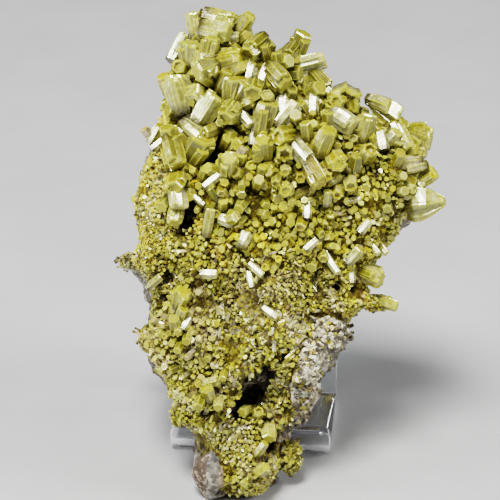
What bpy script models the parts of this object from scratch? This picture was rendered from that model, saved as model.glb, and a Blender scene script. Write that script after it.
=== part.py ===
"""Pyromorphite specimen on a clear acrylic easel.

A hand-sized plate of olive-green pyromorphite: stubby six-sided barrels grown over a rough slab of
vein rock, stood on its toe and leaning back on a small bent acrylic easel.

Frame: metres, +Z up, the crystal face towards -Y. The origin is the middle of the easel's underside.
The specimen is shaped in its own face frame, X across, Z up the face and Y into the rock, then leant back.
"""

import math

import bmesh
import bpy
import numpy as np
from mathutils import Matrix, Vector

MM = 0.001

# The face, as the photograph shows it: its pixels per millimetre, and where the face frame's origin falls.
FACE_PIXELS_PER_MM = 5.2
FACE_ORIGIN_PIXEL = (256, 490)

# How the specimen stands.
LEAN_BACK = math.radians(24)
TOE_PLACE_MM = (0.0, -25.5, 0.85)
FLAT_TOE_MM = 10.0
RESTING_GAP_MM = 0.4

# Broad waves over the whole body: height and length in millimetres, and seed.
BODY_WAVES = ((0.75, 15.0, 3), (0.4, 7.0, 4))

# Half-outline of the rock and crust, without the free-standing crystals: height up the face, left, right.
OUTLINE_MM = (
    (0.0, -9.6, 2.6),
    (2.3, -10.6, 3.4),
    (6.7, -11.6, 5.0),
    (11.4, -12.9, 5.8),
    (13.2, -16.0, 8.2),
    (17.0, -16.6, 9.6),
    (21.9, -17.7, 11.5),
    (24.2, -19.2, 15.2),
    (27.9, -22.0, 17.3),
    (33.1, -21.2, 19.2),
    (36.5, -20.2, 22.0),
    (39.5, -21.6, 21.0),
    (42.5, -24.4, 21.6),
    (45.5, -24.4, 23.4),
    (48.5, -23.8, 27.2),
    (55.8, -23.5, 30.6),
    (61.5, -22.1, 31.2),
    (67.3, -20.2, 30.0),
    (70.0, -18.4, 26.4),
    (74.0, -17.6, 19.4),
    (78.1, -16.5, 11.6),
    (83.0, -15.2, 9.0),
    (85.4, -13.9, 1.4),
    (88.0, -12.0, -0.6),
)
TOP_HEIGHT_MM = OUTLINE_MM[-1][0]

# Depths to the front and to the back of the face plane, up the face.
DEPTH_MM = (
    (0.0, 3.6, 4.8),
    (3.0, 4.8, 6.4),
    (9.6, 7.0, 6.6),
    (13.0, 8.2, 8.6),
    (18.0, 8.6, 15.0),
    (28.0, 10.0, 18.0),
    (48.0, 12.4, 19.0),
    (62.0, 12.0, 16.5),
    (74.0, 10.6, 12.5),
    (82.0, 8.4, 9.0),
    (88.0, 4.4, 4.6),
)
SECTION_SQUARENESS = 2.6
WIDEST_SHARE = 0.97

# Swellings and hollows of the front: pixel across, pixel down, radius and height in millimetres.
SWELLINGS = (
    ("toe_lobe", 258, 462, 5.2, 4.6),
    ("toe_slab", 214, 462, 4.6, 1.6),
    ("left_foot_lobe", 182, 402, 5.4, 3.4),
    ("middle_brow", 252, 358, 7.0, 3.8),
    ("olive_bank", 196, 352, 5.0, 1.8),
    ("right_shoulder", 392, 186, 8.0, 2.6),
    ("crown", 214, 56, 6.0, 2.8),
    ("left_cheek", 176, 190, 6.0, 2.2),
    ("right_wing", 372, 272, 4.6, 2.4),
    ("centre_swell", 290, 170, 9.0, 1.8),
)
HOLLOWS = (
    ("upper_cavity", 207, 156, 2.4, -6.0),
    ("left_cavity", 188, 216, 2.2, -3.6),
    ("foot_crevice", 262, 398, 2.6, -6.5),
    ("foot_crevice_end", 246, 408, 2.0, -4.0),
    ("toe_crevice", 280, 438, 2.0, -6.0),
    ("centre_pit", 320, 206, 1.8, -3.2),
    ("right_pit", 338, 228, 1.8, -3.0),
    ("brow_pit", 256, 332, 1.6, -2.4),
    ("left_dip", 160, 296, 3.4, -2.2),
)

# Where bare rock shows through the crust: pixel across, pixel down, radii across and up in millimetres.
BARE_ROCK = (
    ("foot_plate", 212, 468, 3.6, 5.2),
    ("pale_band", 300, 376, 4.4, 8.6),
    ("pale_band_top", 318, 334, 4.6, 3.8),
)
# The crust wraps the front and sides of the rock, and thins out a little way round the back.
CRUST_THICKNESS_MM = 4.6
MOST_CRUST_SHARE = 0.3
CRUST_EDGE = 0.45
CRUST_EDGE_STEEPNESS = 1.5
ROCK_PROUD_MM = 1.0
ROCK_HEIGHTS_MM = (-0.8, 86.0)

# Grids of the lofted bodies: rings up the face and points round each ring.
BODY_GRID = (32, 28)
ROCK_GRID = (22, 24)

# Crystals placed one by one: pixel of the middle, heading on the face in degrees (0 to the right, 90 up),
# turn of the tip towards the viewer in degrees, width and length in millimetres, and flare of the tip.
LARGE_CRYSTALS = (
    ("crest_left", 196, 23, 102, 8, 2.7, 5.0, 0.0),
    ("crest_lying", 222, 20, -8, 10, 3.3, 6.2, -0.05),
    ("crest_block", 212, 32, 200, 40, 3.4, 5.0, 0.05),
    ("crest_right", 245, 22, 58, 15, 2.8, 4.6, -0.05),
    ("crest_glint", 229, 39, 5, 20, 2.2, 4.0, 0.0),
    ("brow_long", 181, 46, 56, 10, 3.6, 7.0, 0.05),
    ("brow_post", 210, 48, 82, 20, 2.8, 5.0, -0.05),
    ("brow_fan", 204, 69, 205, 35, 3.4, 5.0, 0.22),
    ("brow_log", 231, 61, 12, 15, 3.8, 5.0, 0.0),
    ("notch_cap", 255, 50, 225, 40, 3.4, 5.0, 0.0),
    ("notch_post", 252, 70, 76, 15, 2.4, 4.4, 0.0),
    ("notch_side", 264, 74, 66, 15, 2.1, 4.2, 0.0),
    ("saddle", 279, 78, -52, 30, 3.8, 5.0, 0.0),
    ("saddle_post", 277, 64, 96, 15, 2.0, 4.0, 0.0),
    ("left_cap", 163, 82, 150, 35, 3.0, 4.6, 0.0),
    ("left_sail", 181, 93, 96, 10, 4.0, 8.0, -0.08),
    ("left_sail_rib", 196, 94, 10, 40, 3.0, 4.0, 0.15),
    ("cavity_guard", 208, 109, 58, 20, 3.2, 6.0, 0.0),
    ("cavity_cap", 230, 114, 235, 50, 3.4, 4.6, 0.0),
    ("middle_slat", 244, 117, -52, 20, 1.7, 5.0, 0.0),
    ("middle_barrel", 264, 116, 80, 20, 3.5, 5.4, -0.12),
    ("bright_slat", 287, 114, 50, 20, 2.8, 5.0, 0.0),
    ("upper_fan", 237, 89, 76, 15, 3.8, 5.6, 0.18),
    ("upper_cap", 254, 91, 250, 60, 3.3, 4.2, 0.0),
    ("upper_pale", 247, 104, 20, 40, 2.1, 3.2, 0.0),
    ("upper_twin", 282, 103, 80, 25, 2.0, 3.6, 0.0),
    ("centre_white", 254, 137, 82, 20, 1.7, 3.2, 0.0),
    ("ring_cap", 284, 137, 190, 55, 3.2, 4.6, 0.0),
    ("centre_barrel", 262, 148, 92, 45, 3.0, 4.2, -0.1),
    ("ring_hopper", 284, 152, 270, 72, 2.9, 4.0, 0.0),
    ("left_blade", 173, 141, 118, 20, 3.6, 6.4, 0.0),
    ("left_slat", 196, 131, -38, 20, 2.8, 4.6, 0.0),
    ("cavity_wall", 199, 147, 60, 40, 4.4, 6.0, 0.1),
    ("peak_cap", 289, 55, 235, 45, 2.9, 4.6, 0.0),
    ("peak_top", 300, 45, 70, 20, 3.2, 5.0, 0.1),
    ("peak_arm", 313, 63, 14, 15, 4.0, 7.0, -0.1),
    ("peak_foot", 320, 81, -50, 25, 2.6, 4.2, 0.0),
    ("step_white", 324, 90, -30, 15, 2.0, 3.4, 0.0),
    ("great_hopper", 341, 102, 75, 62, 5.0, 5.0, 0.06),
    ("tall_white", 312, 104, 86, 15, 2.1, 4.4, 0.0),
    ("right_fan", 385, 108, -24, 18, 4.4, 7.4, 0.24),
    ("right_barrel", 364, 128, 75, 15, 2.9, 5.4, -0.05),
    ("stacked_plates", 342, 122, -35, 25, 3.6, 4.6, 0.0),
    ("right_white", 380, 141, 100, 20, 2.6, 4.6, 0.0),
    ("wing_slat", 401, 139, -62, 18, 2.7, 4.8, 0.0),
    ("wing_olive", 395, 129, 40, 25, 2.8, 4.6, 0.0),
    ("wing_glint", 409, 130, -45, 20, 1.8, 3.2, 0.0),
    ("wing_fan", 418, 133, -12, 20, 3.8, 5.6, 0.2),
    ("wing_pale", 416, 154, -8, 20, 3.0, 5.4, 0.0),
    ("wing_log", 408, 163, 186, 15, 2.4, 4.4, 0.0),
    ("edge_yellow", 424, 175, 22, 15, 2.7, 5.0, 0.0),
    ("edge_glint", 417, 182, -48, 20, 1.8, 3.0, 0.0),
    ("edge_great", 427, 202, 2, 12, 4.8, 8.0, -0.22),
    ("pale_stub", 305, 131, 100, 30, 2.3, 3.4, 0.0),
    ("broad_barrel", 323, 142, 68, 25, 3.3, 5.4, -0.05),
    ("striped_slat", 301, 153, -50, 20, 2.7, 4.6, 0.0),
    ("bright_cap", 334, 160, 300, 62, 3.1, 4.4, 0.0),
    ("grey_barrel", 313, 175, -62, 20, 3.1, 4.8, 0.0),
    ("right_hopper", 365, 153, 60, 65, 3.0, 4.0, 0.0),
    ("grey_stub", 353, 162, 80, 30, 2.3, 3.4, 0.0),
    ("rim_pink", 147, 133, 130, 15, 1.8, 3.4, 0.0),
    ("rim_olive", 157, 134, 60, 20, 2.2, 3.6, 0.0),
    ("cheek_frame", 176, 152, -72, 30, 4.0, 6.0, 0.0),
    ("cheek_cap", 176, 181, 260, 60, 3.6, 4.6, 0.0),
    ("cheek_block", 179, 198, -82, 35, 3.4, 4.6, 0.0),
    ("cheek_drop", 176, 213, 260, 30, 2.8, 4.4, 0.0),
    ("cavity_slat", 214, 179, 36, 15, 1.6, 3.8, 0.0),
    ("cavity_lip", 229, 164, 80, 50, 3.0, 4.2, 0.0),
    ("pale_table", 226, 218, 165, 40, 2.6, 3.4, 0.0),
    ("white_fan", 244, 238, 65, 25, 2.3, 3.4, 0.25),
    ("centre_cap", 285, 188, 270, 75, 2.4, 3.4, 0.0),
    ("olive_knob", 183, 311, 70, 45, 2.0, 3.0, 0.0),
    ("olive_ball", 176, 320, 100, 50, 2.2, 3.0, -0.1),
    ("yellow_wedge", 182, 296, 70, 35, 2.6, 3.8, 0.2),
    ("wing_tip", 386, 304, -6, 15, 2.8, 5.6, 0.15),
    ("wing_bulge", 370, 274, -20, 25, 3.2, 5.0, 0.1),
    ("foot_block", 200, 399, 250, 55, 2.0, 3.0, 0.0),
    ("foot_fan", 209, 390, 110, 40, 2.2, 3.2, 0.2),
    ("crevice_cap", 245, 410, 200, 60, 1.9, 2.8, 0.0),
    ("crevice_hopper", 257, 412, 60, 65, 2.0, 2.8, 0.0),
    ("toe_slat", 261, 446, 55, 25, 1.7, 3.2, 0.0),
)
ROOT_MM = 1.4
TIP_CHAMFER = 0.16
LEAST_CHAMFERED_MM = 2.7
LEAST_TIP_SIZE = 0.45
SINK = 0.42
TIP_LIFT = 0.42
SPIN_STEP = 0.7

# Lumps of fine crystals too small to stand alone, as rounded clusters: pixel, depth, and three half-sizes in mm.
CLUSTERS = (
    ("side_lobe", 293, 459, 1.5, 2.9, 3.4, 3.8),
    ("right_wing_arm", 380, 304, -2.0, 4.8, 4.4, 2.3),
    ("left_rim_knot", 126, 262, 3.0, 2.6, 4.0, 2.2),
    ("left_foot_knot", 174, 418, 0.0, 3.2, 5.0, 2.8),
    ("left_ledge", 146, 343, 3.0, 2.6, 5.0, 3.0),
)

# Smaller crystals sown over the crust by rule.
SOWN_SEED = 5
SOWN_TRIES = 420
SOWN_COUNT = 30
SOWN_SPACING_MM = 5.0
SOWN_TILT = 0.3
SOWN_WIDTH_SPREAD = (0.8, 1.25)
SOWN_LENGTH = 1.7

# How wide the sown crystals are at heights up the face.
SOWN_WIDTHS_MM = ((10, 1.5), (45, 1.6), (62, 2.2), (80, 2.8))

# The easel: one sheet of clear acrylic bent into a J.
SHEET_MM = 2.4
EASEL_WIDTH_MM = 32.0
EASEL_DEPTH_MM = 26.0
LIP_HEIGHT_MM = 6.6
BACK_HEIGHT_MM = 42.0
BACK_LEAN = math.radians(7.9)
BEND_RADIUS_MM = 1.6
BEND_STEPS = 4
CORNER_RADIUS_MM = 2.2
CORNER_STEPS = 3
EASEL_TURN = math.radians(-5)


def face_point(pixel_x, pixel_y):
    """X and Z on the face, in millimetres, of a place read from the photograph."""
    x = (pixel_x - FACE_ORIGIN_PIXEL[0]) / FACE_PIXELS_PER_MM
    z = (FACE_ORIGIN_PIXEL[1] - pixel_y) / FACE_PIXELS_PER_MM
    return x, z


def waves(points, wavelength, seed, count=14):
    """A smooth random field of about unit height: a sum of plane sine waves in seeded directions."""
    rng = np.random.default_rng(seed)
    heading = rng.normal(size=(count, 3))
    heading /= np.linalg.norm(heading, axis=1)[:, None]
    stretch = rng.uniform(0.75, 1.35, count) * wavelength
    phase = rng.uniform(0, 2 * math.pi, count)
    angle = (points @ heading.T) * (2 * math.pi / stretch) + phase
    return np.sin(angle).sum(axis=1) / math.sqrt(count)


def body_roughness(points):
    """Height of the body's broad waves at points."""
    return sum(height * waves(points, length, seed) for height, length, seed in BODY_WAVES)


def mound(x, z, pixel_x, pixel_y, radius):
    """A bell of unit height centred on one place of the face."""
    centre_x, centre_z = face_point(pixel_x, pixel_y)
    return np.exp(-((x - centre_x) ** 2 + (z - centre_z) ** 2) / radius**2)


def outline_at(z):
    """Left and right limits of the body at heights z up the face."""
    heights, left, right = np.array(OUTLINE_MM).T
    return np.interp(z, heights, left), np.interp(z, heights, right)


def depths_at(z):
    """Depths in front of and behind the face plane at heights z."""
    heights, front, back = np.array(DEPTH_MM).T
    return np.interp(z, heights, front), np.interp(z, heights, back)


def across_share(x, z):
    """Place across the body at height z, from -1 at the left limit to 1 at the right."""
    left, right = outline_at(z)
    return (2 * x - left - right) / (right - left)


def relief(x, z):
    """How far the front stands out at a place, from the named swellings and hollows."""
    total = np.zeros_like(x)
    for _name, pixel_x, pixel_y, radius, height in SWELLINGS + HOLLOWS:
        total = total + height * mound(x, z, pixel_x, pixel_y, radius)
    return total


def bareness(x, z):
    """1 where the rock is bare, falling to 0 under the crust."""
    share = np.zeros_like(x)
    for _name, pixel_x, pixel_y, radius_x, radius_z in BARE_ROCK:
        centre_x, centre_z = face_point(pixel_x, pixel_y)
        far = ((x - centre_x) / radius_x) ** 2 + ((z - centre_z) / radius_z) ** 2
        share = np.maximum(share, np.clip(1.6 - far, 0, 1))
    return share


def ring_points(z, turn):
    """Points of the plain body: a squared oval round the face's middle line at each height."""
    left, right = outline_at(z)
    front, back = depths_at(z)
    power = 2 / SECTION_SQUARENESS
    across = np.sign(np.cos(turn)) * np.abs(np.cos(turn)) ** power
    inward = np.sign(np.sin(turn)) * np.abs(np.sin(turn)) ** power
    x = (left + right) / 2 + across * (right - left) / 2
    y = np.where(inward < 0, inward * front, inward * back)
    return x, y


def stood_flat(points):
    """The same points with the toe sheared level, so that it stands flat once the specimen leans back."""
    near_floor = np.clip(1 - points[:, 2] / FLAT_TOE_MM, 0, 1)
    level = points.copy()
    level[:, 2] += points[:, 1] * math.tan(LEAN_BACK) * near_floor
    return level


def outward(turn):
    """Level unit vectors pointing out of the body at angles round it."""
    return np.stack([np.cos(turn), np.sin(turn), np.zeros_like(turn)], axis=-1).reshape(-1, 3)


def body_points(z, turn):
    """Points of the crusted body: the plain oval, its relief in front and broad waves all round."""
    x, y = ring_points(z, turn)
    facing = np.clip(-np.sin(turn), 0, 1) ** 0.5
    y = y - facing * relief(x, z)
    points = np.stack([x, y, z], axis=-1).reshape(-1, 3)
    return points + outward(turn) * body_roughness(points)[:, None]


def rock_points(z, turn):
    """Points of the rock slab: under the crust in front, at the body's own surface behind and where bare."""
    points = body_points(z, turn)
    around = outward(turn)
    wrapped = np.clip(CRUST_EDGE - CRUST_EDGE_STEEPNESS * around[:, 1], 0, 1)
    buried = wrapped * (1 - bareness(points[:, 0], points[:, 2]))
    thickness = np.minimum(CRUST_THICKNESS_MM, MOST_CRUST_SHARE * np.add(*depths_at(points[:, 2])))
    cover = thickness * buried - ROCK_PROUD_MM * (1 - buried)
    return points - around * cover[:, None]


def material(name, colour, roughness):
    """A Principled material of one colour."""
    made = bpy.data.materials.new(name)
    made.use_nodes = True
    shader = made.node_tree.nodes["Principled BSDF"]
    shader.inputs["Base Color"].default_value = (*colour, 1)
    shader.inputs["Roughness"].default_value = roughness
    return made


def new_object(name, mesh, collection, finish=None):
    """A named object for a mesh, in a collection, with its finish."""
    made = bpy.data.objects.new(name, mesh)
    collection.objects.link(made)
    if finish:
        mesh.materials.append(finish)
    return made


def lofted_mesh(name, grid, surface, heights):
    """A closed loft of rings up the face, its toe level, with a fan at each end."""
    rings, around = grid
    z, turn = np.meshgrid(
        np.linspace(*heights, rings),
        np.linspace(0, 2 * math.pi, around, endpoint=False),
        indexing="ij",
    )
    points = stood_flat(surface(z, turn))
    bm = bmesh.new()
    verts = [bm.verts.new(Vector(point) * MM) for point in points]
    for ring in range(rings - 1):
        for step in range(around):
            after = (step + 1) % around
            low, high = ring * around, (ring + 1) * around
            bm.faces.new((verts[low + step], verts[low + after], verts[high + after], verts[high + step]))
    for ring in (0, rings - 1):
        loop = verts[ring * around : (ring + 1) * around]
        tip = bm.verts.new(sum((v.co for v in loop), Vector()) / around)
        for step in range(around):
            bm.faces.new((loop[step], loop[(step + 1) % around], tip))
    bmesh.ops.recalc_face_normals(bm, faces=bm.faces)
    bmesh.ops.triangulate(bm, faces=bm.faces)
    mesh = bpy.data.meshes.new(name)
    bm.to_mesh(mesh)
    bm.free()
    return mesh


def front_depth(x, z):
    """Y of the crusted body's front at one place, from its section, relief and waves."""
    share = np.clip(across_share(x, z), -WIDEST_SHARE, WIDEST_SHARE)
    inward = (1 - abs(share) ** SECTION_SQUARENESS) ** (1 / SECTION_SQUARENESS)
    front, _back = depths_at(z)
    y = -inward * front - inward * relief(np.array(x), np.array(z))
    spot = np.array([[x, float(y), z]])
    return float(y - inward * body_roughness(spot)[0])


def pointing(heading, facing):
    """Unit vector along a crystal from its heading on the face and its turn towards the viewer."""
    heading, facing = math.radians(heading), math.radians(facing)
    flat = math.cos(facing)
    return Vector((flat * math.cos(heading), -math.sin(facing), flat * math.sin(heading)))


def add_crystal(bm, middle, along, width, length, flare, spin):
    """One six-sided barrel with a chamfered tip. flare widens the tip, or narrows it below 0."""
    root_radius = width / math.sqrt(3) * (1 - flare)
    tip_radius = max(width / math.sqrt(3) * (1 + flare), LEAST_TIP_SIZE)
    centre = (Vector(middle) - along * ROOT_MM / 2) * MM
    place = Matrix.Translation(centre) @ along.to_track_quat("Z", "Y").to_matrix().to_4x4()
    made = bmesh.ops.create_cone(
        bm,
        cap_ends=True,
        segments=6,
        radius1=root_radius * MM,
        radius2=tip_radius * MM,
        depth=(length + ROOT_MM) * MM,
        matrix=place @ Matrix.Rotation(spin, 4, "Z"),
    )
    if width < LEAST_CHAMFERED_MM:
        return
    tip = Vector(middle) * MM + along * length * MM / 2
    cap = min({face for v in made["verts"] for face in v.link_faces if len(face.verts) == 6},
              key=lambda face: (face.calc_center_median() - tip).length)
    bmesh.ops.bevel(bm, geom=list(cap.edges), offset=TIP_CHAMFER * width * MM, segments=1, affect="EDGES")


def add_large_crystals(bm):
    """The crystals placed one by one, each half sunk in the crust."""
    for index, (_name, pixel_x, pixel_y, heading, facing, width, length, flare) in enumerate(LARGE_CRYSTALS):
        x, z = face_point(pixel_x, pixel_y)
        along = pointing(heading, facing)
        lift = (0.5 - SINK) * width + TIP_LIFT * length * math.sin(math.radians(facing))
        middle = (x, front_depth(x, min(z, TOP_HEIGHT_MM - 1)) - lift, z)
        add_crystal(bm, middle, along, width, length, flare, spin=index * SPIN_STEP)


def surface_place(z, turn):
    """A point of the body and the outward normal there, from small steps along and round it."""
    step = 0.02
    z4 = np.array([[z, z, z, z + 0.5]])
    turn4 = np.array([[turn, turn - step, turn + step, turn]])
    here, before, after, above = (Vector(p) for p in body_points(z4, turn4))
    return here, (after - before).cross(above - here).normalized()


def add_sown_crystals(bm):
    """Smaller crystals sown on the crust's sides and front, standing off it within a cone of its normal."""
    rng = np.random.default_rng(SOWN_SEED)
    taken = [Vector((x, 0, z)) for x, z in (face_point(row[1], row[2]) for row in LARGE_CRYSTALS)]
    sown = 0
    for _attempt in range(SOWN_TRIES):
        z = rng.uniform(4, TOP_HEIGHT_MM - 3)
        turn = rng.uniform(math.pi * 0.93, math.pi * 2.07)
        tilt = Vector(rng.normal(scale=SOWN_TILT, size=3))
        spread, spin = rng.uniform(*SOWN_WIDTH_SPREAD), rng.uniform(0, math.pi)
        if sown == SOWN_COUNT:
            break
        here, normal = surface_place(z, turn)
        bare = float(bareness(np.array(here.x), np.array(z)))
        crowded = any((Vector((here.x, 0, z)) - other).length < SOWN_SPACING_MM for other in taken)
        if bare > 0 or crowded:
            continue
        width = spread * np.interp(z, *zip(*SOWN_WIDTHS_MM))
        along = (normal + tilt).normalized()
        add_crystal(bm, here + along * width * 0.35, along, width, width * SOWN_LENGTH, 0.0, spin)
        taken.append(Vector((here.x, 0, z)))
        sown += 1


def crystals_mesh():
    """All the stand-alone crystals in one mesh, still overlapping."""
    bm = bmesh.new()
    add_large_crystals(bm)
    add_sown_crystals(bm)
    mesh = bpy.data.meshes.new("crystals")
    bm.to_mesh(mesh)
    bm.free()
    return mesh


def clusters_mesh():
    """The rounded clusters, as coarse balls stretched to their half-sizes."""
    bm = bmesh.new()
    for _name, pixel_x, pixel_y, y, half_x, half_y, half_z in CLUSTERS:
        x, z = face_point(pixel_x, pixel_y)
        place = Matrix.Translation(Vector((x, y, z)) * MM) @ Matrix.Diagonal((half_x, half_y, half_z, 1))
        bmesh.ops.create_icosphere(bm, subdivisions=2, radius=MM, matrix=place)
    mesh = bpy.data.meshes.new("clusters")
    bm.to_mesh(mesh)
    bm.free()
    return mesh


def combine(target, tool, operation, solver="EXACT", touching_itself=False):
    """A Boolean of one object with another, left as a modifier."""
    modifier = target.modifiers.new(f"{operation.lower()}_{tool.name}", "BOOLEAN")
    modifier.operation = operation
    modifier.solver = solver
    modifier.use_self = touching_itself
    modifier.object = tool


def as_tool(obj):
    """Marks an object as a helper that isn't part of the specimen."""
    obj.hide_render = True
    obj.display_type = "WIRE"


def build_specimen(parts, tools, seat):
    """The rock slab, and the crust with its crystals grown together over it."""
    rock_finish = material("vein_rock", (0.36, 0.31, 0.26), 0.85)
    crystal_finish = material("pyromorphite", (0.42, 0.41, 0.11), 0.3)
    rock = new_object("matrix", lofted_mesh("matrix", ROCK_GRID, rock_points, ROCK_HEIGHTS_MM), parts, rock_finish)
    body = lofted_mesh("crust", BODY_GRID, body_points, (0.0, TOP_HEIGHT_MM))
    crust = new_object("pyromorphite_crystals", body, parts, crystal_finish)
    clusters = new_object("clusters", clusters_mesh(), tools)
    crystals = new_object("crystals", crystals_mesh(), tools)
    pocket = new_object("matrix_pocket", rock.data, tools)
    swell = pocket.modifiers.new("resting_gap", "DISPLACE")
    swell.mid_level = 0
    swell.strength = RESTING_GAP_MM * MM
    combine(crust, clusters, "UNION")
    combine(crust, crystals, "UNION", touching_itself=True)
    combine(crust, pocket, "DIFFERENCE", solver="MANIFOLD")
    for piece in (clusters, crystals, pocket):
        as_tool(piece)
    for piece in (rock, crust, clusters, crystals, pocket):
        piece.parent = seat


def easel_profile():
    """Middle line of the bent sheet in Y and Z: down the lip, along the base, up the back, bends as arcs."""
    half = EASEL_DEPTH_MM / 2 - SHEET_MM / 2
    floor = SHEET_MM / 2
    radius = BEND_RADIUS_MM + SHEET_MM / 2
    line = [(-half, LIP_HEIGHT_MM)]
    for step in range(BEND_STEPS + 1):
        turn = math.pi + step / BEND_STEPS * math.pi / 2
        line.append((-half + radius + radius * math.cos(turn), floor + radius + radius * math.sin(turn)))
    back_turn = math.pi / 2 - BACK_LEAN
    for step in range(BEND_STEPS + 1):
        turn = -math.pi / 2 + step / BEND_STEPS * back_turn
        line.append((half - radius + radius * math.cos(turn), floor + radius + radius * math.sin(turn)))
    y, z = line[-1]
    rise = BACK_HEIGHT_MM - z
    line.append((y + rise * math.tan(BACK_LEAN), BACK_HEIGHT_MM))
    return line


def build_easel(parts):
    """The easel: a strip of sheet along the profile, its four corners rounded, thickened both ways."""
    bm = bmesh.new()
    half = EASEL_WIDTH_MM / 2
    rows = [[bm.verts.new(Vector((x, y, z)) * MM) for x in (-half, half)] for y, z in easel_profile()]
    for low, high in zip(rows, rows[1:]):
        bm.faces.new((low[0], high[0], high[1], low[1]))
    corners = rows[0] + rows[-1]
    bmesh.ops.bevel(
        bm, geom=corners, offset=CORNER_RADIUS_MM * MM, segments=CORNER_STEPS, profile=0.5, affect="VERTICES"
    )
    mesh = bpy.data.meshes.new("easel")
    bm.to_mesh(mesh)
    bm.free()
    easel = new_object("acrylic_easel", mesh, parts, material("clear_acrylic", (0.85, 0.88, 0.9), 0.08))
    thicken = easel.modifiers.new("sheet", "SOLIDIFY")
    thicken.thickness = SHEET_MM * MM
    thicken.offset = 0
    thicken.use_even_offset = True
    easel.rotation_euler.z = EASEL_TURN


def clear_scene():
    """Removes whatever the open file holds."""
    for obj in list(bpy.data.objects):
        bpy.data.objects.remove(obj)


def main():
    clear_scene()
    parts = bpy.data.collections.new("pyromorphite_specimen")
    tools = bpy.data.collections.new("cutters")
    for collection in (parts, tools):
        bpy.context.scene.collection.children.link(collection)
    seat = bpy.data.objects.new("specimen_seat", None)
    parts.objects.link(seat)
    seat.location = Vector(TOE_PLACE_MM) * MM
    seat.rotation_euler.x = -LEAN_BACK
    build_specimen(parts, tools, seat)
    build_easel(parts)


main()
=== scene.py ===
"""Looks of a pyromorphite specimen: olive-green crystals over vein rock, leaning on a clear acrylic easel.

The specimen is shaped in its own face frame, in millimetres: X across the face, Z up it and Y into the
rock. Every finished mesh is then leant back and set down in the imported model's frame, in metres.
"""

import logging
import math
from dataclasses import dataclass, field
from enum import Enum, IntEnum
from itertools import product
from typing import NamedTuple, Protocol

import bpy
import numpy as np
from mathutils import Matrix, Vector
from mathutils.kdtree import KDTree


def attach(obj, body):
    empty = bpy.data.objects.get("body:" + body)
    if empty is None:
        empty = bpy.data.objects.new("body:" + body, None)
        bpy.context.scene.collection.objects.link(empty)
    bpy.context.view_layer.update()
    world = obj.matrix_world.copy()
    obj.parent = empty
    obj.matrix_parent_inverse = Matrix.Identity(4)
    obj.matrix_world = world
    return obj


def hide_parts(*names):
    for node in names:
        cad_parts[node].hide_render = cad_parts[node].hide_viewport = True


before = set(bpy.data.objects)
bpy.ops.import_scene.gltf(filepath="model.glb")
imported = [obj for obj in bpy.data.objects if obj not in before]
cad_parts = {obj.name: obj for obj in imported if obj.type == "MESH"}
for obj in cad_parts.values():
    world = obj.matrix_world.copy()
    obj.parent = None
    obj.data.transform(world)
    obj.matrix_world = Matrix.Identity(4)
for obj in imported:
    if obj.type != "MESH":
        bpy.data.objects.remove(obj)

LOG = logging.getLogger("pyromorphite")
MM = 0.001
LOWEST_MM = 0.06

Pair = tuple[float, float]
Triple = tuple[float, float, float]
Colour = tuple[float, float, float, float]
Socket = bpy.types.NodeSocket
Array = np.ndarray
Material = bpy.types.Material
NodeTree = bpy.types.NodeTree
Node = bpy.types.Node
Object = bpy.types.Object


class Tone(Enum):
    """Named colours of the specimen, as linear red, green and blue."""

    MOSS = (0.19, 0.168, 0.014)
    OLIVE = (0.27, 0.232, 0.022)
    YELLOW_GREEN = (0.40, 0.345, 0.024)
    BRIGHT_YELLOW = (0.55, 0.450, 0.022)
    PALE_GREEN = (0.46, 0.440, 0.140)
    AMBER = (0.46, 0.310, 0.016)
    CREAM = (0.60, 0.490, 0.220)
    TAN = (0.34, 0.240, 0.060)
    # Painted highlight: the whitish tint of the crystals that are turned to glint.
    WHITE = (0.62, 0.630, 0.400)
    MAUVE = (0.15, 0.105, 0.08)
    HONEY = (0.55, 0.400, 0.050)
    RUST = (0.13, 0.062, 0.032)
    BROWN = (0.16, 0.110, 0.060)
    GREY = (0.22, 0.210, 0.195)
    STEEL = (0.12, 0.130, 0.160)
    BLUSH = (0.52, 0.430, 0.340)
    CHALK = (0.66, 0.630, 0.520)


class Seed(IntEnum):
    """Where each piece's chances start, so that every run gives the same specimen."""

    LARGE = 5
    SMALL = 6
    LARGE_CUT = 7
    SMALL_CUT = 8
    BUNDLE = 9
    BUNDLE_CUT = 10
    SOWN = 11
    CLUSTERS = 12
    SOWN_CUT = 17
    UPPER_CUT = 18
    LOWER_CUT = 19
    GRAINS = 23
    GRAINS_CUT = 24
    CRUST = 31
    CLUSTER_CRUST = 41


class Placed(NamedTuple):
    """One listed crystal: its pixel, heading and facing in degrees, and its size in millimetres."""

    name: str
    pixel_x: float
    pixel_y: float
    heading: float
    facing: float
    width: float
    length: float
    tone: Tone
    flare: float = 0.0
    hopper: float = 0.0
    bend: float = 0.0
    bulge: float = 0.1


class Zone(NamedTuple):
    """A patch of the face whose crystals are alike: pixel, radii in millimetres, and what grows there."""

    name: str
    pixel_x: float
    pixel_y: float
    radius_x: float
    radius_z: float
    width: float
    slenderness: float
    splay: float
    main: Tone
    second: Tone
    second_share: float


# Height up the face, and its left and right limits there.
OUTLINE_MM = (
    (0.0, -9.6, 2.6),
    (2.3, -10.6, 3.4),
    (6.7, -11.6, 5.0),
    (11.4, -12.9, 5.8),
    (13.2, -16.0, 8.2),
    (17.0, -16.6, 9.6),
    (21.9, -17.7, 11.5),
    (24.2, -19.2, 15.2),
    (27.9, -22.0, 17.3),
    (33.1, -21.2, 19.2),
    (36.5, -20.2, 22.0),
    (39.5, -21.6, 21.0),
    (42.5, -24.4, 21.6),
    (45.5, -24.4, 23.4),
    (48.5, -23.8, 27.2),
    (55.8, -23.5, 30.6),
    (61.5, -22.1, 31.2),
    (67.3, -20.2, 30.0),
    (70.0, -18.4, 26.4),
    (74.0, -17.6, 19.4),
    (78.1, -16.5, 11.6),
    (83.0, -15.2, 9.0),
    (85.4, -13.9, 1.4),
    (88.0, -12.0, -0.6),
)
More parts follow.
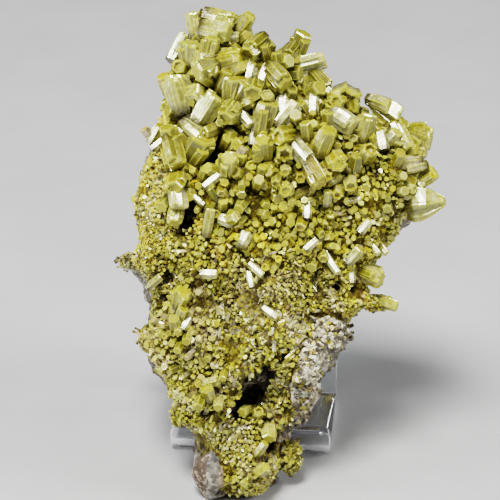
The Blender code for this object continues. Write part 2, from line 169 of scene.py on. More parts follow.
# Height up the face, and how far the body reaches in front and behind.
DEPTH_MM = (
    (0.0, 3.6, 4.8),
    (3.0, 4.8, 6.4),
    (9.6, 7.0, 6.6),
    (13.0, 8.2, 8.6),
    (18.0, 8.6, 15.0),
    (28.0, 10.0, 18.0),
    (48.0, 12.4, 19.0),
    (62.0, 12.0, 16.5),
    (74.0, 10.6, 12.5),
    (82.0, 8.4, 9.0),
    (88.0, 4.4, 4.6),
)
# Swellings and hollows of the front: name, pixel, radius and height in millimetres.
SWELLINGS = (
    ("toe_lobe", 258, 462, 5.2, 4.6),
    ("toe_slab", 214, 462, 4.6, 1.6),
    ("left_foot_lobe", 182, 402, 5.4, 3.4),
    ("middle_brow", 252, 358, 7.0, 3.8),
    ("olive_bank", 196, 352, 5.0, 1.8),
    ("right_shoulder", 392, 186, 8.0, 2.6),
    ("crown", 214, 56, 6.0, 2.8),
    ("left_cheek", 176, 190, 6.0, 2.2),
    ("right_wing", 372, 272, 4.6, 2.4),
    ("centre_swell", 290, 170, 9.0, 1.8),
)
HOLLOWS = (
    ("upper_cavity", 207, 156, 2.4, -6.0),
    ("left_cavity", 188, 216, 2.2, -3.6),
    ("foot_crevice", 262, 398, 2.6, -6.5),
    ("foot_crevice_end", 246, 408, 2.0, -4.0),
    ("toe_crevice", 280, 438, 2.0, -6.0),
    ("centre_pit", 320, 206, 1.8, -3.2),
    ("right_pit", 338, 228, 1.8, -3.0),
    ("brow_pit", 256, 332, 1.6, -2.4),
    ("left_dip", 160, 296, 3.4, -2.2),
)
# Where the rock is bare: name, pixel, and half the width and height in millimetres.
BARE_ROCK = (
    ("foot_plate", 208, 470, 2.9, 5.0),
    ("pale_band_top", 330, 327, 3.2, 3.2),
    ("pale_band_middle", 312, 353, 2.5, 4.2),
    ("pale_band_low", 305, 390, 2.2, 6.0),
)
# Pockets in the crust: name, pixel, half the length and width, heading in degrees and depth.
# The crust and the bare rock are also darkened in these pockets, as painted shade.
POCKETS = (
    ("upper_cavity", 212, 153, 3.0, 1.8, 60, 4.6),
    ("left_groove", 190, 215, 3.0, 1.5, 80, 3.2),
    ("left_hole", 164, 298, 1.6, 1.0, 30, 2.2),
    ("left_dark", 167, 277, 2.6, 1.3, 30, 2.4),
    ("left_dark_top", 163, 258, 1.4, 0.9, 0, 2.0),
    ("middle_gap", 235, 284, 0.9, 1.6, 0, 2.2),
    ("middle_gap_top", 241, 267, 0.9, 1.4, 0, 2.0),
    ("centre_gap", 253, 191, 1.8, 1.2, 0, 2.2),
    ("peak_gap", 275, 52, 1.5, 2.2, 0, 2.6),
    ("saddle_gap", 289, 67, 1.5, 1.8, 0, 2.2),
    ("neck_gap", 267, 97, 1.7, 1.6, 0, 2.2),
    ("brow_gap", 230, 76, 1.6, 1.1, 0, 2.2),
    ("hopper_gap", 345, 127, 2.0, 1.2, 0, 2.4),
    ("slat_gap", 311, 166, 1.7, 1.2, 30, 2.2),
    ("foot_crevice", 254, 390, 5.4, 1.7, 52, 6.5),
    ("foot_crevice_mouth", 242, 407, 2.0, 1.1, 10, 4.0),
    ("crevice_hole", 265, 421, 1.1, 0.8, 0, 3.0),
    ("toe_crevice", 275, 448, 2.4, 0.9, -55, 4.5),
    ("brow_hole", 257, 341, 1.7, 0.7, -70, 2.6),
    ("brow_hole_left", 254, 349, 1.0, 0.7, 0, 2.2),
    ("centre_hole", 320, 204, 1.2, 0.8, 30, 2.6),
    ("right_hole", 336, 229, 1.3, 0.8, 20, 2.6),
    ("wing_hole", 337, 285, 1.2, 0.8, 40, 2.4),
    ("wing_hole_right", 352, 286, 0.9, 0.6, 0, 1.8),
    ("foot_hole", 206, 411, 1.6, 0.8, 15, 2.4),
    ("notch", 277, 57, 1.4, 0.8, 60, 2.6),
    ("upper_gap", 263, 99, 1.6, 0.7, 20, 2.0),
    ("middle_crack", 232, 283, 1.6, 0.6, -60, 1.8),
    ("bank_gap", 212, 366, 2.2, 0.6, 20, 1.8),
    ("brow_crack", 286, 352, 2.2, 0.6, 75, 2.2),
)
# Painted shade where tints are darker, in the same columns: the last is the power of e by which the tint
# falls.
SHADY = (
    ("peak_side", 300, 85, 8.0, 8.0, 0, 0.60),
    ("crown_middle", 288, 118, 13.0, 7.0, 0, 0.32),
    ("crown_side", 262, 55, 5.0, 5.0, 0, 0.35),
    ("cavity_side", 222, 150, 5.0, 5.0, 0, 0.20),
    ("left_side", 170, 268, 5.0, 3.4, 30, 0.55),
    ("rock_peep", 230, 312, 3.0, 1.4, 0, 0.60),
    ("foot_left", 158, 325, 4.4, 4.5, 0, 0.36),
    ("bank_shade", 200, 350, 2.4, 5.0, 20, 0.30),
    ("foot_low", 178, 420, 3.0, 2.4, 0, 0.30),
    ("lower_right", 272, 375, 4.0, 7.0, 0, 0.25),
    ("foot_side", 205, 410, 6.0, 5.0, 0, 0.15),
)

# The crystals placed one by one.
LARGE_CRYSTALS = (
    Placed("crest_left", 195, 24, 100, 12, 2.5, 4.4, Tone.PALE_GREEN),
    Placed("crest_lying", 220, 19, -12, 12, 2.8, 5.6, Tone.YELLOW_GREEN, flare=-0.05),
    Placed("crest_block", 217, 32, -10, 22, 3.9, 5.4, Tone.PALE_GREEN, flare=0.05),
    Placed("crest_right", 245, 24, 56, 15, 2.7, 4.2, Tone.YELLOW_GREEN, flare=-0.05, bulge=0.2),
    Placed("crest_glint", 229, 39, 5, 20, 2.2, 4.0, Tone.WHITE),
    Placed("brow_long", 179, 47, 62, 10, 2.8, 5.8, Tone.WHITE, flare=0.05),
    Placed("brow_long_fan", 192, 55, 86, 20, 3.2, 4.6, Tone.PALE_GREEN, flare=0.25),
    Placed("brow_post", 211, 50, 76, 20, 2.6, 4.4, Tone.OLIVE),
    Placed("brow_fan", 206, 70, 205, 35, 3.4, 4.6, Tone.PALE_GREEN, flare=0.22),
    Placed("brow_log", 230, 62, 12, 15, 3.7, 4.6, Tone.YELLOW_GREEN),
    Placed("notch_cap", 255, 50, 225, 40, 3.4, 5.0, Tone.MOSS, hopper=0.12),
    Placed("notch_post", 251, 70, 76, 15, 2.0, 3.8, Tone.WHITE),
    Placed("notch_side", 264, 75, 68, 15, 1.9, 3.6, Tone.WHITE),
    Placed("saddle", 279, 80, -50, 30, 3.7, 4.6, Tone.OLIVE),
    Placed("saddle_post", 277, 64, 96, 15, 2.0, 4.0, Tone.MOSS),
    Placed("left_cap", 166, 83, 112, 30, 2.5, 3.6, Tone.AMBER),
    Placed("left_sail", 183, 93, 98, 10, 4.6, 7.0, Tone.PALE_GREEN, bend=0.1, bulge=0.25),
    Placed("left_sail_rib", 196, 94, 10, 40, 3.0, 4.0, Tone.PALE_GREEN, flare=0.15),
    Placed("cavity_guard", 208, 109, 58, 20, 3.2, 6.0, Tone.PALE_GREEN),
    Placed("cavity_cap", 230, 114, 235, 50, 3.4, 4.6, Tone.OLIVE, hopper=0.14),
    Placed("middle_slat", 244, 117, -52, 20, 1.7, 5.0, Tone.WHITE),
    Placed("middle_barrel", 264, 116, 80, 20, 3.5, 5.4, Tone.OLIVE, flare=-0.12),
    Placed("bright_slat", 287, 114, 50, 20, 2.8, 5.0, Tone.WHITE),
    Placed("upper_fan", 234, 91, 78, 15, 4.0, 5.2, Tone.MOSS, flare=0.2),
    Placed("upper_cap", 254, 91, 250, 60, 3.3, 4.2, Tone.MOSS, hopper=0.1),
    Placed("upper_pale", 247, 104, 20, 40, 2.1, 3.2, Tone.OLIVE),
    Placed("upper_twin", 282, 103, 80, 25, 2.0, 3.6, Tone.WHITE),
    Placed("centre_white", 254, 137, 82, 20, 1.7, 3.2, Tone.WHITE),
    Placed("ring_cap", 284, 137, 190, 55, 3.2, 4.6, Tone.YELLOW_GREEN, hopper=0.2),
    Placed("centre_barrel", 262, 148, 92, 45, 3.0, 4.2, Tone.YELLOW_GREEN, flare=-0.1),
    Placed("ring_hopper", 284, 152, 270, 72, 2.9, 4.0, Tone.OLIVE, hopper=0.34),
    Placed("left_blade", 173, 141, 112, 20, 3.4, 6.0, Tone.OLIVE, flare=-0.1),
    Placed("left_slat", 196, 131, -38, 20, 2.8, 4.6, Tone.PALE_GREEN),
    Placed("cavity_wall", 199, 147, 60, 40, 4.4, 6.0, Tone.OLIVE, flare=0.1),
    Placed("peak_cap", 289, 55, 235, 45, 2.9, 4.6, Tone.MOSS),
    Placed("peak_top", 300, 45, 70, 20, 3.2, 5.0, Tone.MOSS, flare=0.1),
    Placed("peak_arm", 310, 64, 14, 12, 3.5, 6.2, Tone.WHITE, flare=-0.05),
    Placed("peak_foot", 320, 81, -50, 25, 2.6, 4.2, Tone.OLIVE),
    Placed("step_white", 324, 90, -30, 15, 2.0, 3.4, Tone.WHITE),
    Placed("great_hopper", 343, 100, 262, 76, 5.8, 4.6, Tone.OLIVE, flare=0.06, hopper=0.20, bulge=0.0),
    Placed("hopper_cell", 337, 102, 200, 76, 2.6, 4.0, Tone.YELLOW_GREEN, flare=0.1, hopper=0.16),
    Placed("hopper_cell_right", 349, 102, 340, 76, 2.6, 4.0, Tone.YELLOW_GREEN, flare=0.1, hopper=0.14),
    Placed("tall_white", 312, 104, 86, 15, 2.1, 4.4, Tone.WHITE),
    Placed("right_fan", 386, 108, -28, 16, 3.9, 6.4, Tone.PALE_GREEN, flare=0.3, bend=-0.12, bulge=0.05),
    Placed("right_barrel", 364, 128, 75, 15, 2.9, 5.4, Tone.PALE_GREEN, flare=-0.05),
    Placed("stacked_plates", 342, 122, -35, 25, 3.6, 4.6, Tone.WHITE),
    Placed("right_white", 379, 141, 100, 20, 2.3, 3.7, Tone.WHITE),
    Placed("wing_slat", 401, 139, -62, 18, 2.7, 4.8, Tone.PALE_GREEN),
    Placed("wing_olive", 395, 129, 40, 25, 2.8, 4.6, Tone.OLIVE),
    Placed("wing_glint", 409, 130, -45, 20, 1.8, 3.2, Tone.WHITE),
    Placed("wing_fan", 419, 134, -14, 20, 3.7, 5.0, Tone.YELLOW_GREEN, flare=0.25, bend=-0.1),
    Placed("wing_pale", 415, 150, -8, 20, 2.6, 4.2, Tone.TAN),
    Placed("wing_log", 408, 164, 186, 15, 2.5, 4.0, Tone.BLUSH),
    Placed("edge_yellow", 426, 176, 32, 15, 2.6, 3.8, Tone.BRIGHT_YELLOW),
    Placed("edge_glint", 417, 182, -48, 20, 1.8, 3.0, Tone.WHITE),
    Placed("edge_great", 426, 202, 4, 12, 4.9, 6.8, Tone.PALE_GREEN, flare=-0.42, bulge=0.4),
    Placed("pale_stub", 305, 131, 100, 30, 2.3, 3.4, Tone.OLIVE),
    Placed("broad_barrel", 323, 142, 68, 25, 3.3, 5.4, Tone.YELLOW_GREEN, flare=-0.05),
    Placed("striped_slat", 301, 153, -50, 20, 2.7, 4.6, Tone.WHITE),
    Placed("bright_cap", 334, 160, 300, 62, 3.1, 4.4, Tone.BRIGHT_YELLOW, hopper=0.06),
    Placed("grey_barrel", 313, 175, -62, 20, 3.1, 4.8, Tone.TAN),
    Placed("right_hopper", 365, 153, 60, 65, 3.0, 4.0, Tone.YELLOW_GREEN, hopper=0.3),
    Placed("grey_stub", 353, 162, 80, 30, 2.3, 3.4, Tone.OLIVE),
    Placed("rim_pink", 148, 133, 130, 25, 1.7, 2.6, Tone.BLUSH),
    Placed("rim_olive", 157, 134, 60, 20, 2.2, 3.6, Tone.OLIVE),
    Placed("cheek_frame", 177, 155, -74, 28, 3.8, 5.4, Tone.OLIVE),
    Placed("cheek_cap", 176, 183, 260, 60, 3.2, 4.0, Tone.YELLOW_GREEN, hopper=0.1),
    Placed("cheek_block", 179, 198, -82, 25, 3.2, 4.0, Tone.WHITE),
    Placed("cheek_drop", 177, 214, 262, 30, 2.6, 3.8, Tone.PALE_GREEN),
    Placed("cavity_slat", 213, 180, 38, 15, 1.5, 3.5, Tone.WHITE),
    Placed("cavity_lip", 229, 164, 80, 50, 3.0, 4.2, Tone.YELLOW_GREEN),
    Placed("pale_table", 226, 219, 165, 30, 2.3, 2.8, Tone.WHITE),
    Placed("table_cap", 232, 217, 20, 55, 2.0, 2.8, Tone.YELLOW_GREEN),
    Placed("white_fan", 244, 238, 65, 20, 2.1, 3.2, Tone.WHITE, flare=0.3),
    Placed("centre_cap", 285, 188, 270, 75, 2.4, 3.4, Tone.YELLOW_GREEN, hopper=0.1),
    Placed("olive_knob", 183, 311, 70, 45, 2.0, 3.0, Tone.OLIVE),
    Placed("olive_ball", 176, 320, 100, 50, 2.2, 3.0, Tone.OLIVE, flare=-0.1),
    Placed("yellow_wedge", 182, 296, 70, 35, 2.6, 3.8, Tone.YELLOW_GREEN, flare=0.2),
    Placed("wing_tip", 387, 303, -18, 20, 1.9, 4.2, Tone.YELLOW_GREEN, flare=0.1),
    Placed("wing_bulge", 370, 274, -20, 25, 3.2, 5.0, Tone.YELLOW_GREEN, flare=0.1),
    Placed("foot_block", 200, 399, 250, 55, 2.0, 3.0, Tone.OLIVE),
    Placed("foot_fan", 209, 390, 110, 40, 2.2, 3.2, Tone.OLIVE, flare=0.2),
    Placed("crevice_cap", 245, 410, 200, 60, 1.9, 2.8, Tone.OLIVE),
    Placed("crevice_hopper", 257, 412, 60, 65, 2.0, 2.8, Tone.YELLOW_GREEN, hopper=0.25),
    Placed("toe_slat", 261, 446, 55, 25, 1.7, 3.2, Tone.OLIVE),
)

SMALL_CRYSTALS = (
    Placed("crown_bead", 237, 71, 30, 40, 2.1, 3.0, Tone.YELLOW_GREEN),
    Placed("middle_cap", 263, 133, 270, 60, 1.7, 2.6, Tone.BRIGHT_YELLOW),
    Placed("ring_strip", 297, 150, 60, 18, 1.3, 2.8, Tone.WHITE),
    Placed("blade_cap", 183, 133, 160, 40, 1.6, 2.4, Tone.WHITE),
    Placed("right_bead", 325, 174, 270, 65, 1.9, 2.6, Tone.BRIGHT_YELLOW, hopper=0.2),
    Placed("right_strip", 333, 180, 28, 15, 1.3, 2.6, Tone.WHITE),
    Placed("patch_cap", 348, 183, 270, 65, 2.3, 3.0, Tone.YELLOW_GREEN, hopper=0.2),
    Placed("patch_hopper", 336, 192, 250, 65, 1.9, 2.6, Tone.BRIGHT_YELLOW, hopper=0.28),
    Placed("centre_bead", 284, 170, 270, 70, 1.7, 2.6, Tone.YELLOW_GREEN, hopper=0.12),
    Placed("centre_bead_left", 276, 181, 250, 65, 1.8, 2.6, Tone.OLIVE, hopper=0.18),
    Placed("centre_bead_low", 291, 199, 270, 65, 1.7, 2.6, Tone.YELLOW_GREEN),
    Placed("pit_stub", 326, 196, 85, 30, 1.6, 2.6, Tone.PALE_GREEN),
    Placed("patch_white", 353, 199, 10, 15, 1.1, 2.4, Tone.WHITE),
    Placed("pit_white", 306, 208, 88, 18, 1.5, 3.0, Tone.WHITE),
    Placed("rim_white", 159, 144, 40, 15, 1.4, 2.4, Tone.WHITE),
    Placed("middle_pink", 242, 153, 60, 30, 1.7, 2.4, Tone.BLUSH),
    Placed("cheek_white", 199, 199, 140, 18, 1.1, 2.2, Tone.WHITE),
    Placed("cheek_tall", 210, 220, 80, 15, 1.7, 5.0, Tone.PALE_GREEN),
    Placed("middle_strip", 257, 268, -40, 15, 1.2, 3.0, Tone.WHITE),
    Placed("middle_upright", 250, 276, 100, 15, 1.2, 2.9, Tone.WHITE),
    Placed("left_block", 211, 272, 0, 15, 1.8, 2.6, Tone.WHITE),
    Placed("left_strip", 156, 280, 40, 15, 1.4, 3.2, Tone.PALE_GREEN),
    Placed("centre_strip", 311, 242, 40, 15, 1.4, 2.6, Tone.WHITE),
    Placed("right_low_strip", 363, 225, 50, 15, 1.6, 2.5, Tone.WHITE),
    Placed("long_strip", 330, 263, -65, 12, 1.2, 4.4, Tone.WHITE, bend=0.12),
    Placed("wing_white", 353, 253, 50, 20, 1.9, 3.2, Tone.PALE_GREEN),
    Placed("wing_strip", 373, 248, -50, 15, 1.3, 2.8, Tone.WHITE),
    Placed("wing_strip_edge", 382, 248, -50, 15, 1.3, 2.8, Tone.WHITE),
    Placed("wing_upright", 351, 273, 92, 15, 1.2, 2.7, Tone.WHITE),
    Placed("bank_bead_top", 180, 328, 240, 65, 1.5, 2.4, Tone.OLIVE),
    Placed("bank_bead", 188, 336, 250, 65, 1.6, 2.4, Tone.OLIVE),
    Placed("bank_bead_low", 180, 345, 240, 60, 1.5, 2.4, Tone.YELLOW_GREEN),
    Placed("foot_strip", 212, 379, 20, 25, 1.9, 3.2, Tone.PALE_GREEN),
    Placed("foot_bead", 224, 372, 250, 60, 1.5, 2.4, Tone.OLIVE),
    Placed("foot_bead_low", 219, 400, 260, 60, 1.7, 2.6, Tone.YELLOW_GREEN),
    Placed("brow_white", 271, 311, -35, 15, 1.5, 2.8, Tone.WHITE),
    Placed("bank_white", 188, 320, 60, 25, 1.5, 2.4, Tone.WHITE),
    Placed("toe_bead", 269, 432, 270, 50, 2.4, 3.2, Tone.BRIGHT_YELLOW),
    Placed("toe_middle", 262, 467, 40, 35, 1.9, 2.8, Tone.YELLOW_GREEN),
    Placed("toe_edge", 246, 478, 240, 45, 1.7, 2.6, Tone.YELLOW_GREEN),
)

# What is sown over the face.
ZONES = (
    Zone("left_cluster", 160, 104, 2.4, 2.6, 1.25, 1.5, 0.60, Tone.BRIGHT_YELLOW, Tone.CREAM, 0.30),
    Zone("crown", 215, 60, 9.0, 11.0, 1.9, 1.6, 0.62, Tone.MOSS, Tone.OLIVE, 0.50),
    Zone("peak", 300, 80, 9.0, 8.0, 1.9, 1.6, 0.62, Tone.MOSS, Tone.OLIVE, 0.35),
    Zone("centre", 285, 160, 12.0, 10.0, 1.5, 1.4, 0.55, Tone.OLIVE, Tone.YELLOW_GREEN, 0.50),
    Zone("lower_centre", 290, 220, 12.0, 6.0, 0.92, 1.7, 0.70, Tone.YELLOW_GREEN, Tone.BRIGHT_YELLOW, 0.40),
    Zone("fine_patch", 376, 182, 6.0, 6.5, 0.70, 1.5, 0.65, Tone.BRIGHT_YELLOW, Tone.PALE_GREEN, 0.45),
    Zone("right_edge", 418, 165, 5.0, 9.0, 1.6, 1.6, 0.50, Tone.BRIGHT_YELLOW, Tone.PALE_GREEN, 0.35),
    Zone("right_low", 365, 232, 8.0, 6.0, 0.76, 1.7, 0.60, Tone.BRIGHT_YELLOW, Tone.CREAM, 0.50),
    Zone("left_rim", 155, 168, 5.0, 8.0, 0.52, 1.5, 0.90, Tone.HONEY, Tone.CREAM, 0.35),
    Zone("left_druse", 150, 235, 7.5, 10.0, 0.46, 1.5, 1.00, Tone.HONEY, Tone.CHALK, 0.45),
    Zone("amber_middle", 212, 245, 6.0, 7.0, 0.60, 2.2, 1.10, Tone.YELLOW_GREEN, Tone.HONEY, 0.55),
    Zone("middle", 260, 270, 11.0, 7.0, 0.50, 2.3, 1.30, Tone.YELLOW_GREEN, Tone.CREAM, 0.45),
    Zone("dark_left", 180, 275, 5.5, 7.0, 0.58, 2.2, 1.20, Tone.OLIVE, Tone.TAN, 0.40),
    Zone("brow", 250, 325, 12.0, 7.0, 0.45, 2.1, 1.30, Tone.YELLOW_GREEN, Tone.CHALK, 0.50),
    Zone("right_wing", 365, 285, 6.0, 6.0, 0.50, 1.7, 0.80, Tone.BRIGHT_YELLOW, Tone.CREAM, 0.40),
    Zone("yellow_streak", 330, 305, 4.5, 4.5, 0.46, 1.9, 0.85, Tone.BRIGHT_YELLOW, Tone.CHALK, 0.45),
    Zone("olive_bank", 186, 335, 5.0, 7.0, 1.05, 1.6, 0.60, Tone.OLIVE, Tone.CREAM, 0.30),
    Zone("ledge", 148, 340, 3.6, 6.0, 0.44, 1.3, 0.90, Tone.TAN, Tone.CREAM, 0.45),
    Zone("foot", 205, 385, 8.0, 7.5, 0.60, 1.7, 0.90, Tone.YELLOW_GREEN, Tone.CHALK, 0.40),
    Zone("brow_low", 258, 375, 6.5, 6.0, 0.50, 2.0, 1.20, Tone.YELLOW_GREEN, Tone.CHALK, 0.45),
    Zone("crevice_side", 282, 410, 4.5, 6.0, 0.66, 1.7, 1.00, Tone.OLIVE, Tone.CREAM, 0.35),
    Zone("toe_top", 225, 428, 6.0, 4.0, 0.42, 2.0, 1.20, Tone.YELLOW_GREEN, Tone.CHALK, 0.45),
    Zone("toe_lobe", 258, 465, 4.8, 6.0, 0.54, 1.9, 1.00, Tone.YELLOW_GREEN, Tone.CREAM, 0.40),
    Zone("toe_side", 294, 460, 3.6, 5.0, 0.50, 1.8, 1.10, Tone.OLIVE, Tone.YELLOW_GREEN, 0.55),
)

# Patches of colour on the bare rock: name, pixel, half the width and height in millimetres, and tone.
STAINS = (
    ("slab_front", 212, 470, 3.0, 7.0, Tone.GREY),
    ("slab_edge", 199, 470, 1.7, 8.0, Tone.MAUVE),
    # slab_shine is a painted reflection: a bluish sheen on the slab, painted as a steel-grey patch.
    ("slab_shine", 221, 446, 1.9, 3.2, Tone.STEEL),
    ("slab_cream", 224, 474, 1.4, 3.6, Tone.BLUSH),
    ("pale_band_top", 330, 327, 3.6, 3.6, Tone.CHALK),
    ("pale_band_middle", 312, 353, 3.0, 4.8, Tone.CHALK),
    ("pale_band_low", 305, 390, 2.8, 6.6, Tone.BLUSH),
)


def hashed(cells: Array, seed: int, channel: int) -> Array:
    """Even random numbers from 0 to 1 for whole-number cells, mixed from their numbers by primes and shifts.

    Args:
        cells: whole numbers, three to a row.
        seed: chooses the field.
        channel: chooses one of several numbers for the same cell.

    Returns:
        One number for each row.
    """
    mixed = cells @ np.array([73856093, 19349663, 83492791]) + seed * 2654435761 + channel * 97531
    mixed = (mixed ^ (mixed >> 13)) * 1274126177
    mixed = mixed ^ (mixed >> 16)
    return (mixed & 0xFFFFFF) / 0xFFFFFF


def value_noise(points: Array, size: float, seed: int) -> Array:
    """Smooth noise from -1 to 1: the random numbers of a cell's eight corners, blended by smooth steps.

    Args:
        points: places, three numbers to a row.
        size: width of a cell, in the places' units.
        seed: chooses the field.

    Returns:
        One number for each row.
    """
    place = points / size
    low = np.floor(place).astype(np.int64)
    step = place - low
    step = step * step * (3 - 2 * step)
    total = np.zeros(len(points))
    for corner in product((0, 1), repeat=3):
        share = np.prod(np.where(corner, step, 1 - step), axis=1)
        total += share * hashed(low + np.array(corner), seed, 0)
    return 2 * total - 1


def layered_noise(points: Array, size: float, seed: int, layers: int = 4) -> Array:
    """Value noise added in layers, each half as wide and half as high as the one before."""
    return sum(value_noise(points, size / 2**i, seed + i) / 2**i for i in range(layers))


def cell_field(points: Array, size: float, seed: int) -> tuple[Array, Array, Array]:
    """Distance to the nearest of many scattered seeds, one in each cell, its number and the way from it.

    Args:
        points: places, three numbers to a row.
        size: width of a cell.
        seed: chooses the field.

    Returns:
        Distances in cell widths, numbers from 0 to 1, and offsets from the seed in cell widths.
    """
    place = points / size
    low = np.floor(place).astype(np.int64)
    nearest = np.full(len(points), 9.0)
    own = np.zeros(len(points))
    away = np.zeros_like(place)
    for step in product((-1, 0, 1), repeat=3):
        cell = low + np.array(step)
        spot = cell + np.stack([hashed(cell, seed, channel) for channel in (1, 2, 3)], axis=1)
        far = np.linalg.norm(place - spot, axis=1)
        closer = far < nearest
        nearest = np.where(closer, far, nearest)
        own = np.where(closer, hashed(cell, seed, 4), own)
        away = np.where(closer[:, None], place - spot, away)
    return nearest, own, away


def waves(points: Array, wavelength: float, seed: int, count: int = 14) -> Array:
    """A smooth field of about unit height: a sum of plane sine waves in seeded directions.

    Args:
        points: places, three numbers to a row.
        wavelength: how long the waves are, about.
        seed: chooses the field.
        count: how many waves are summed.

    Returns:
        One number for each row.
    """
    rng = np.random.default_rng(seed)
    heading = rng.normal(size=(count, 3))
    heading /= np.linalg.norm(heading, axis=1)[:, None]
    stretch = rng.uniform(0.75, 1.35, count) * wavelength
    phase = rng.uniform(0, 2 * math.pi, count)
    angle = (points @ heading.T) * (2 * math.pi / stretch) + phase
    return np.sin(angle).sum(axis=1) / math.sqrt(count)


def unit(vectors: Array) -> Array:
    """The same vectors with length 1."""
    return vectors / np.maximum(np.linalg.norm(vectors, axis=-1, keepdims=True), 1e-12)


def smooth_step(value: Array, low: float, high: float) -> Array:
    """0 below low, 1 above high and a smooth rise between."""
    share = np.clip((value - low) / (high - low), 0, 1)
    return share * share * (3 - 2 * share)


def bells(points: Array, rows: tuple) -> Array:
    """The greatest of many long bells at each point, such as the depth of pockets or the strength of shade.

    Args:
        points: places in the face frame.
        rows: a name, a pixel, half the length and width, the heading in degrees and the height, for each.

    Returns:
        One height for each point, 0 or more.
    """
    greatest = np.zeros(len(points))
    for _name, pixel_x, pixel_y, half_long, half_wide, heading, height in rows:
        x, z = FACE.spot(pixel_x, pixel_y)
        cos, sin = math.cos(math.radians(heading)), math.sin(math.radians(heading))
        along = ((points[:, 0] - x) * cos + (points[:, 2] - z) * sin) / half_long
        across = ((points[:, 2] - z) * cos - (points[:, 0] - x) * sin) / half_wide
        greatest = np.maximum(greatest, height * np.exp(-(along**2 + across**2)))
    return greatest


@dataclass(frozen=True)
class FaceFrame:
    """The specimen's own frame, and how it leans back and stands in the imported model's frame."""

    pixels_per_mm: float = 5.2
    origin_pixel: Pair = (256, 490)
    lean_back: float = math.radians(24)
    toe_place_mm: Triple = (0.0, -25.5, 0.85)

    def spot(self, pixel_x: float, pixel_y: float) -> Pair:
        """X and Z on the face, in millimetres, of a pixel of the photograph."""
        left, foot = self.origin_pixel
        return (pixel_x - left) / self.pixels_per_mm, (foot - pixel_y) / self.pixels_per_mm

    def lean(self) -> Array:
        """The turn about X that leans the face back, as a 3 by 3 matrix."""
        cos, sin = math.cos(self.lean_back), math.sin(self.lean_back)
        return np.array([[1, 0, 0], [0, cos, sin], [0, -sin, cos]])

    def to_world(self, points: Array) -> Array:
        """Points of the face frame leant back and set down, in metres, with none under the surface."""
        world = points @ self.lean().T + np.array(self.toe_place_mm)
        world[:, 2] = np.maximum(world[:, 2], LOWEST_MM)
        return world * MM

    def from_world(self, vector: Triple) -> Array:
        """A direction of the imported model's frame, as seen in the face frame."""
        return unit(np.array(vector) @ self.lean())


FACE = FaceFrame()


class Surface(Protocol):
    """A closed surface of two parameters: u from one end to the other, and turn round it."""

    def points(self, u: Array, turn: Array) -> Array:
        """Points of the face frame, three numbers to a row."""


